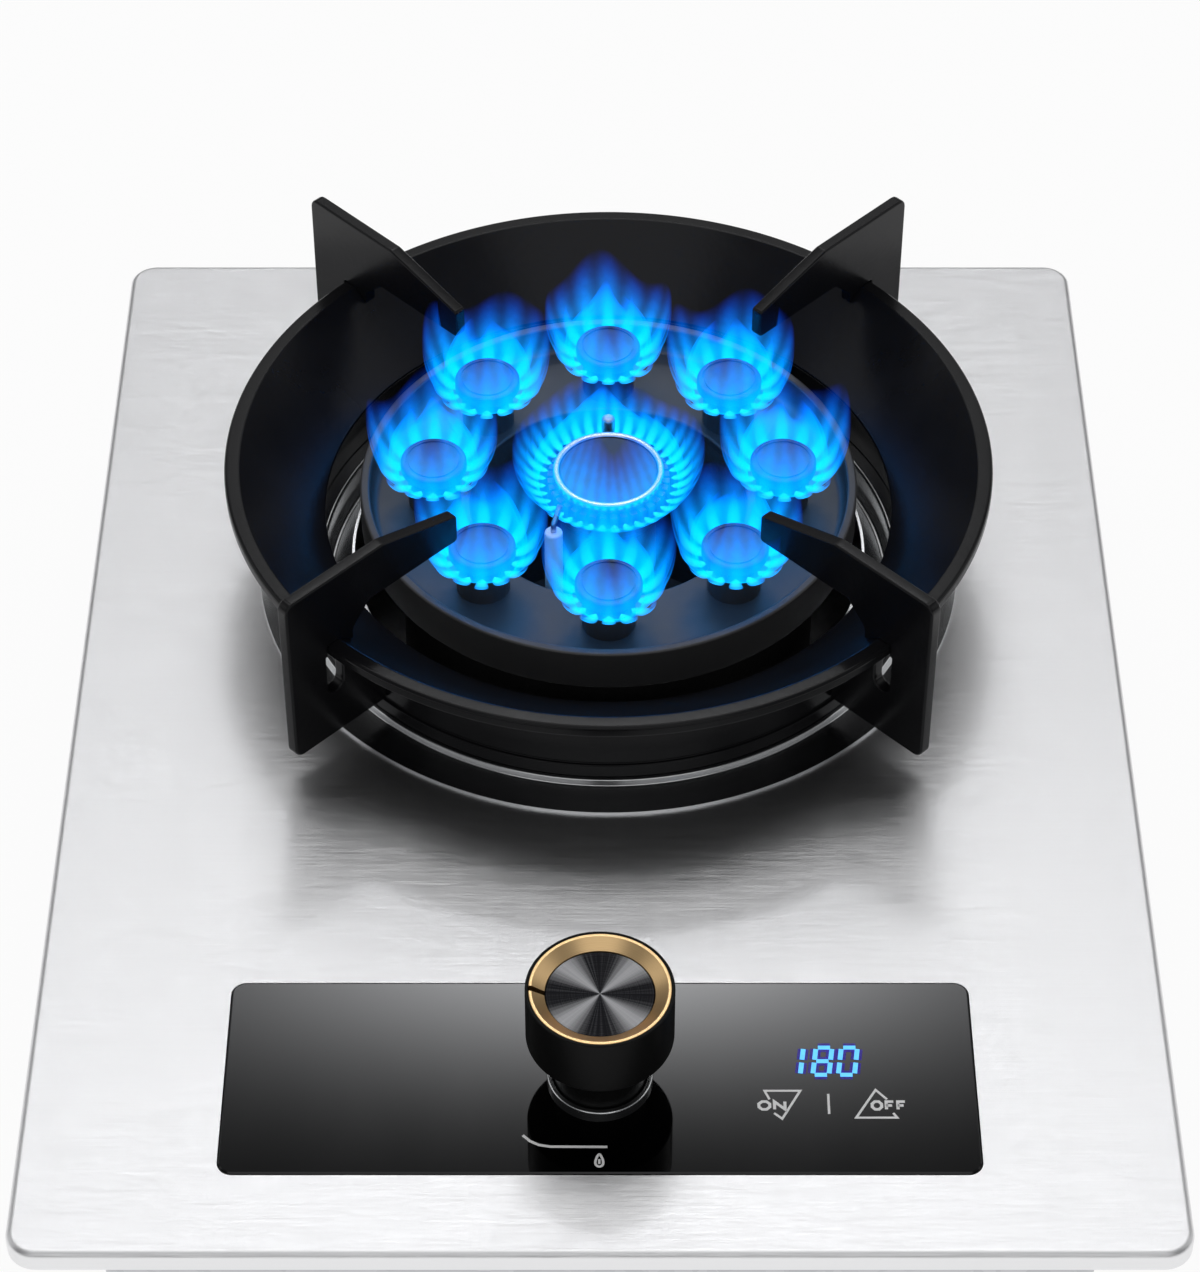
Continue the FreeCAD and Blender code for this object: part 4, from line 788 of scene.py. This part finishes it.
def flame_light(name, stops, strength, thickness, fade):
    """Light that changes colour from the port to the tip and thins out at the tip and along both edges."""
    material, value, shader = new_finish(name, (0.0, 0.0, 0.0), 0.9, Emission_Strength=strength,
                                         Specular_IOR_Level=0.0)
    along = value.node("ShaderNodeAttribute", {"attribute_name": "along"}, output="Fac")
    across = value.node("ShaderNodeAttribute", {"attribute_name": "across"}, output="Fac")
    feed(shader, "Emission Color", value.node("ShaderNodeValToRGB", {"stops": stops}, {0: along}, "Color"))
    flicker = noise(value, here(value), 420.0)
    middle = value.math("MAXIMUM", 1.0 - across * across, 0.0)
    feed(shader, "Alpha", middle ** 0.8 * (1.0 - along) ** fade * (thickness * 0.7 + thickness * 0.6 * flicker))
    return material


def mantle(axis, start, low, count, reach, rise, lean=0.0):
    """Thin wall of gas, higher by rise at its wavy top: it flares by reach, fast at first, and leans in by lean."""
    turn = np.linspace(0, 2 * np.pi, count * mantle_steps, endpoint=False)[:, None]
    tall = 1 + 0.14 * np.sin(3 * turn + axis[0] * 900) + 0.1 * np.sin(5 * turn + axis[1] * 700)
    side = np.concatenate([np.ones(len(petal_along)), -np.ones(len(petal_along) - 2)])
    middle = start + reach * (1 - (1 - mantle_along) ** 2) - lean * mantle_along ** 2
    radius = middle + side * mantle_wall * np.sin(np.pi * mantle_along)
    height = low + rise * tall * mantle_along ** 1.3
    points = np.stack([axis[0] + radius * np.cos(turn), axis[1] + radius * np.sin(turn), height], -1)
    return points, grid(len(turn), len(mantle_along), True, True), ()


def mantle_marks(count, repeats):
    """How far up each point lies and one bright streak for each port: flared walls first, then buds without a root."""
    turn = np.linspace(0, 2 * np.pi, count * mantle_steps, endpoint=False)[:, None]
    streak = streak_depth * np.cos(count / 2 * turn)
    root = np.sin(np.pi * np.minimum(mantle_along, 0.5))
    shape = (repeats, len(turn), len(mantle_along))
    bud_along = bud_root + (1 - bud_root) * mantle_along ** 3
    along = [np.broadcast_to(mantle_along, shape), np.broadcast_to(bud_along, shape)]
    across = [np.broadcast_to(streak, shape), np.broadcast_to(np.sqrt(1 - (1 - streak ** 2 / 2) * root), shape)]
    return {"along": np.concatenate(along), "across": np.concatenate(across)}


cup_sill = cup_top - cup_port_height
petal_gap, cup_petal_lift, centre_petal_lift, haze_gap, haze_lift = 0.0004, 0.0006, 0.0008, 0.0026, 0.0012
cup_petal = {"reach": 0.0088, "rise": 0.0128, "width": 0.0022}
centre_petal = {"reach": 0.0068, "rise": 0.0095, "width": 0.0016}
cup_forms = [{"reach": 0.0092, "rise": 0.0235}, {"reach": 0.007, "rise": 0.0235, "lean": 0.013}]
centre_forms = [{"reach": 0.008, "rise": 0.0155}, {"reach": 0.006, "rise": 0.026, "lean": 0.019}]
cone_stops = [(0.0, (0.012, 0.42, 1.0)), (0.4, (0.008, 0.34, 1.0)), (1.0, (0.0, 0.12, 1.0))]
cone_blue = flame_light("flame cones", cone_stops, strength=3.2, thickness=0.62, fade=1.3)
haze_stops = [(0.0, (0.0, 0.42, 1.0)), (0.45, (0.0, 0.3, 1.0)), (1.0, (0.0, 0.05, 1.0))]
haze_blue = flame_light("flame haze", haze_stops, strength=2.8, thickness=0.44, fade=1.2)

cup_flames = [petals(axis, cup_radius + petal_gap, cup_sill + cup_petal_lift, cup_port_count, **cup_petal)
              for axis in cup_axes]
piece("outer_flames", cup_flames, "stove", "burner_black", material=cone_blue,
      marks=petal_marks(cup_count * cup_port_count))
centre_flames = petals(burner_axis, head_radius + petal_gap, head_sill + centre_petal_lift, head_port_count,
                       **centre_petal)
piece("centre_flames", [centre_flames], "stove", "burner_black", material=cone_blue,
      marks=petal_marks(head_port_count))
cup_haze = [mantle(axis, cup_radius + haze_gap, cup_sill + haze_lift, cup_port_count, **form)
            for form in cup_forms for axis in cup_axes]
piece("outer_haze", cup_haze, "stove", "burner_black", material=haze_blue,
      marks=mantle_marks(cup_port_count, cup_count))
centre_haze = [mantle(burner_axis, head_radius + haze_gap, head_sill + haze_lift, head_port_count, **form)
               for form in centre_forms]
piece("centre_haze", centre_haze, "stove", "burner_black", material=haze_blue, marks=mantle_marks(head_port_count, 1))
bpy.context.scene.cycles.transparent_max_bounces = 32


# Every solid that still shows takes the finish of its slot in the record. The strap under the
# burner is of the same zinc sheet as the case, dulled dark by years of heat.
heat_dulled = cloudy_finish("heat-dulled sheet", (0.03, 0.03, 0.034), (0.1, 0.09, 0.085), 0.001, (0.5, 0.7), 0.6)
for subpart in record["subparts"]:
    solid = frame["nodes"][subpart["node"]]
    solid.data.materials.clear()
    solid.data.materials.append(finishes[subpart["material_slot"]])
frame["nodes"]["burner_strap"].data.materials[0] = heat_dulled


# Studio: a pale floor, soft screens behind, at the sides and in front, a soft lamp low behind,
# and the camera of the photograph, which looks down at the front from a little over a metre away.
floor_reach, floor_lines, white_share = 40.0, 9, 0.94


def floor_white():
    """Pale floor that the camera and mirrors see as nearly white, with the shadow left in it."""
    material, value, shader = new_finish("floor white", (0.82, 0.82, 0.82), 0.9)
    speck = noise(value, here(value), 30.0)
    feed(shader, "Base Color", tint(value, speck, (0.88, 0.88, 0.88), (0.92, 0.92, 0.92)))
    tree = material.node_tree
    seen = [value.node("ShaderNodeLightPath", output=ray)
            for ray in ("Is Camera Ray", "Is Glossy Ray", "Is Transmission Ray")]
    share = value.math("MINIMUM", seen[0] + seen[1] + seen[2], 1.0) * white_share
    white = value.node("ShaderNodeEmission", inputs={"Color": (1, 1, 1, 1), "Strength": 1.0})
    lit_floor = Value(tree, shader.outputs[0])
    mixed = value.node("ShaderNodeMixShader", inputs={0: share, 1: lit_floor, 2: white})
    tree.links.new(mixed.socket, tree.nodes["Material Output"].inputs["Surface"])
    return material


floor_edge = np.linspace(-floor_reach, floor_reach, floor_lines)
floor_x, floor_y = np.meshgrid(floor_edge, floor_edge, indexing="ij")
floor_mesh = bpy.data.meshes.new("floor")
floor_points = np.stack([floor_x, floor_y, np.zeros_like(floor_x)], -1).reshape(-1, 3)
floor_mesh.from_pydata(floor_points.tolist(), [], grid(floor_lines, floor_lines, False, False).tolist())
floor_mesh.materials.append(floor_white())
floor = bpy.data.objects.new("floor", floor_mesh)
bpy.context.scene.collection.objects.link(floor)


def screen(name, place, target, size, radiance):
    """Rectangular soft light of a given brightness, turned to face a point."""
    lamp = bpy.data.lights.new(name, "AREA")
    lamp.shape = "RECTANGLE"
    lamp.size, lamp.size_y = size
    lamp.energy = radiance * math.pi * size[0] * size[1]
    made = bpy.data.objects.new(name, lamp)
    made.location = place
    towards = np.subtract(target, place)
    level = math.hypot(towards[0], towards[1])
    made.rotation_euler = (math.atan2(level, -towards[2]), 0, math.atan2(towards[1], towards[0]) - math.pi / 2)
    bpy.context.scene.collection.objects.link(made)


screen("top screen", (0, -0.295, 2.5), (0, -0.295, 0.08), (2.4, 1.87), 0.74)
screen("high screen", (0, 0.9, 2.3), (0, -0.1, 0.08), (2.6, 0.7), 1.6)
screen("back screen", (0, 2.2, 1.75), (0, 0, 0.08), (3.6, 1.0), 0.54)
screen("left screen", (-1.9, 0.3, 1.1), (0, 0, 0.08), (1.6, 1.4), 0.55)
screen("right screen", (1.9, 0.3, 1.1), (0, 0, 0.08), (1.6, 1.4), 0.55)
screen("front screen", (0, -2.2, 1.5), (0, 0, 0.08), (3.0, 1.2), 0.75)
world = bpy.data.worlds.new("studio")
bpy.context.scene.world = world
world.use_nodes = True
room = Value(world.node_tree)
room_light, lamp_light, lamp_lift, lamp_tall, lamp_wide = 0.17, 12.4, 0.753, 0.021, 0.082
towards = room.node("ShaderNodeTexCoord", output="Generated")
sides = [room.node("ShaderNodeSeparateXYZ", inputs={"Vector": towards}, output=axis) for axis in "XYZ"]
off_x, off_z = sides[0] / lamp_wide, (sides[2] - lamp_lift) / lamp_tall
behind = room.math("GREATER_THAN", sides[1], 0.0)
soft_lamp = behind * lamp_light * math.e ** (0.0 - off_x * off_x - off_z * off_z)
sky = world.node_tree.nodes["Background"]
sky.inputs["Color"].default_value = (0.97, 0.98, 1.0, 1)
feed(sky, "Strength", soft_lamp + room_light)

photo_width, photo_height, photo_focal = 1200, 1272, 3897.9
lens_sensor, camera_pitch = 36.0, math.radians(44.85)
view_distance, view_point = 1.20807, (0.0, 0.0272, panel_top)
camera = bpy.data.cameras.new("camera")
camera.sensor_width = lens_sensor
camera.lens = photo_focal * lens_sensor / max(photo_width, photo_height)
viewer = bpy.data.objects.new("camera", camera)
viewer.location = (view_point[0], view_point[1] - view_distance * math.cos(camera_pitch),
                   view_point[2] + view_distance * math.sin(camera_pitch))
viewer.rotation_euler = (math.pi / 2 - camera_pitch, 0, 0)
bpy.context.scene.collection.objects.link(viewer)
bpy.context.scene.camera = viewer
bpy.context.scene.view_settings.view_transform = "Standard"
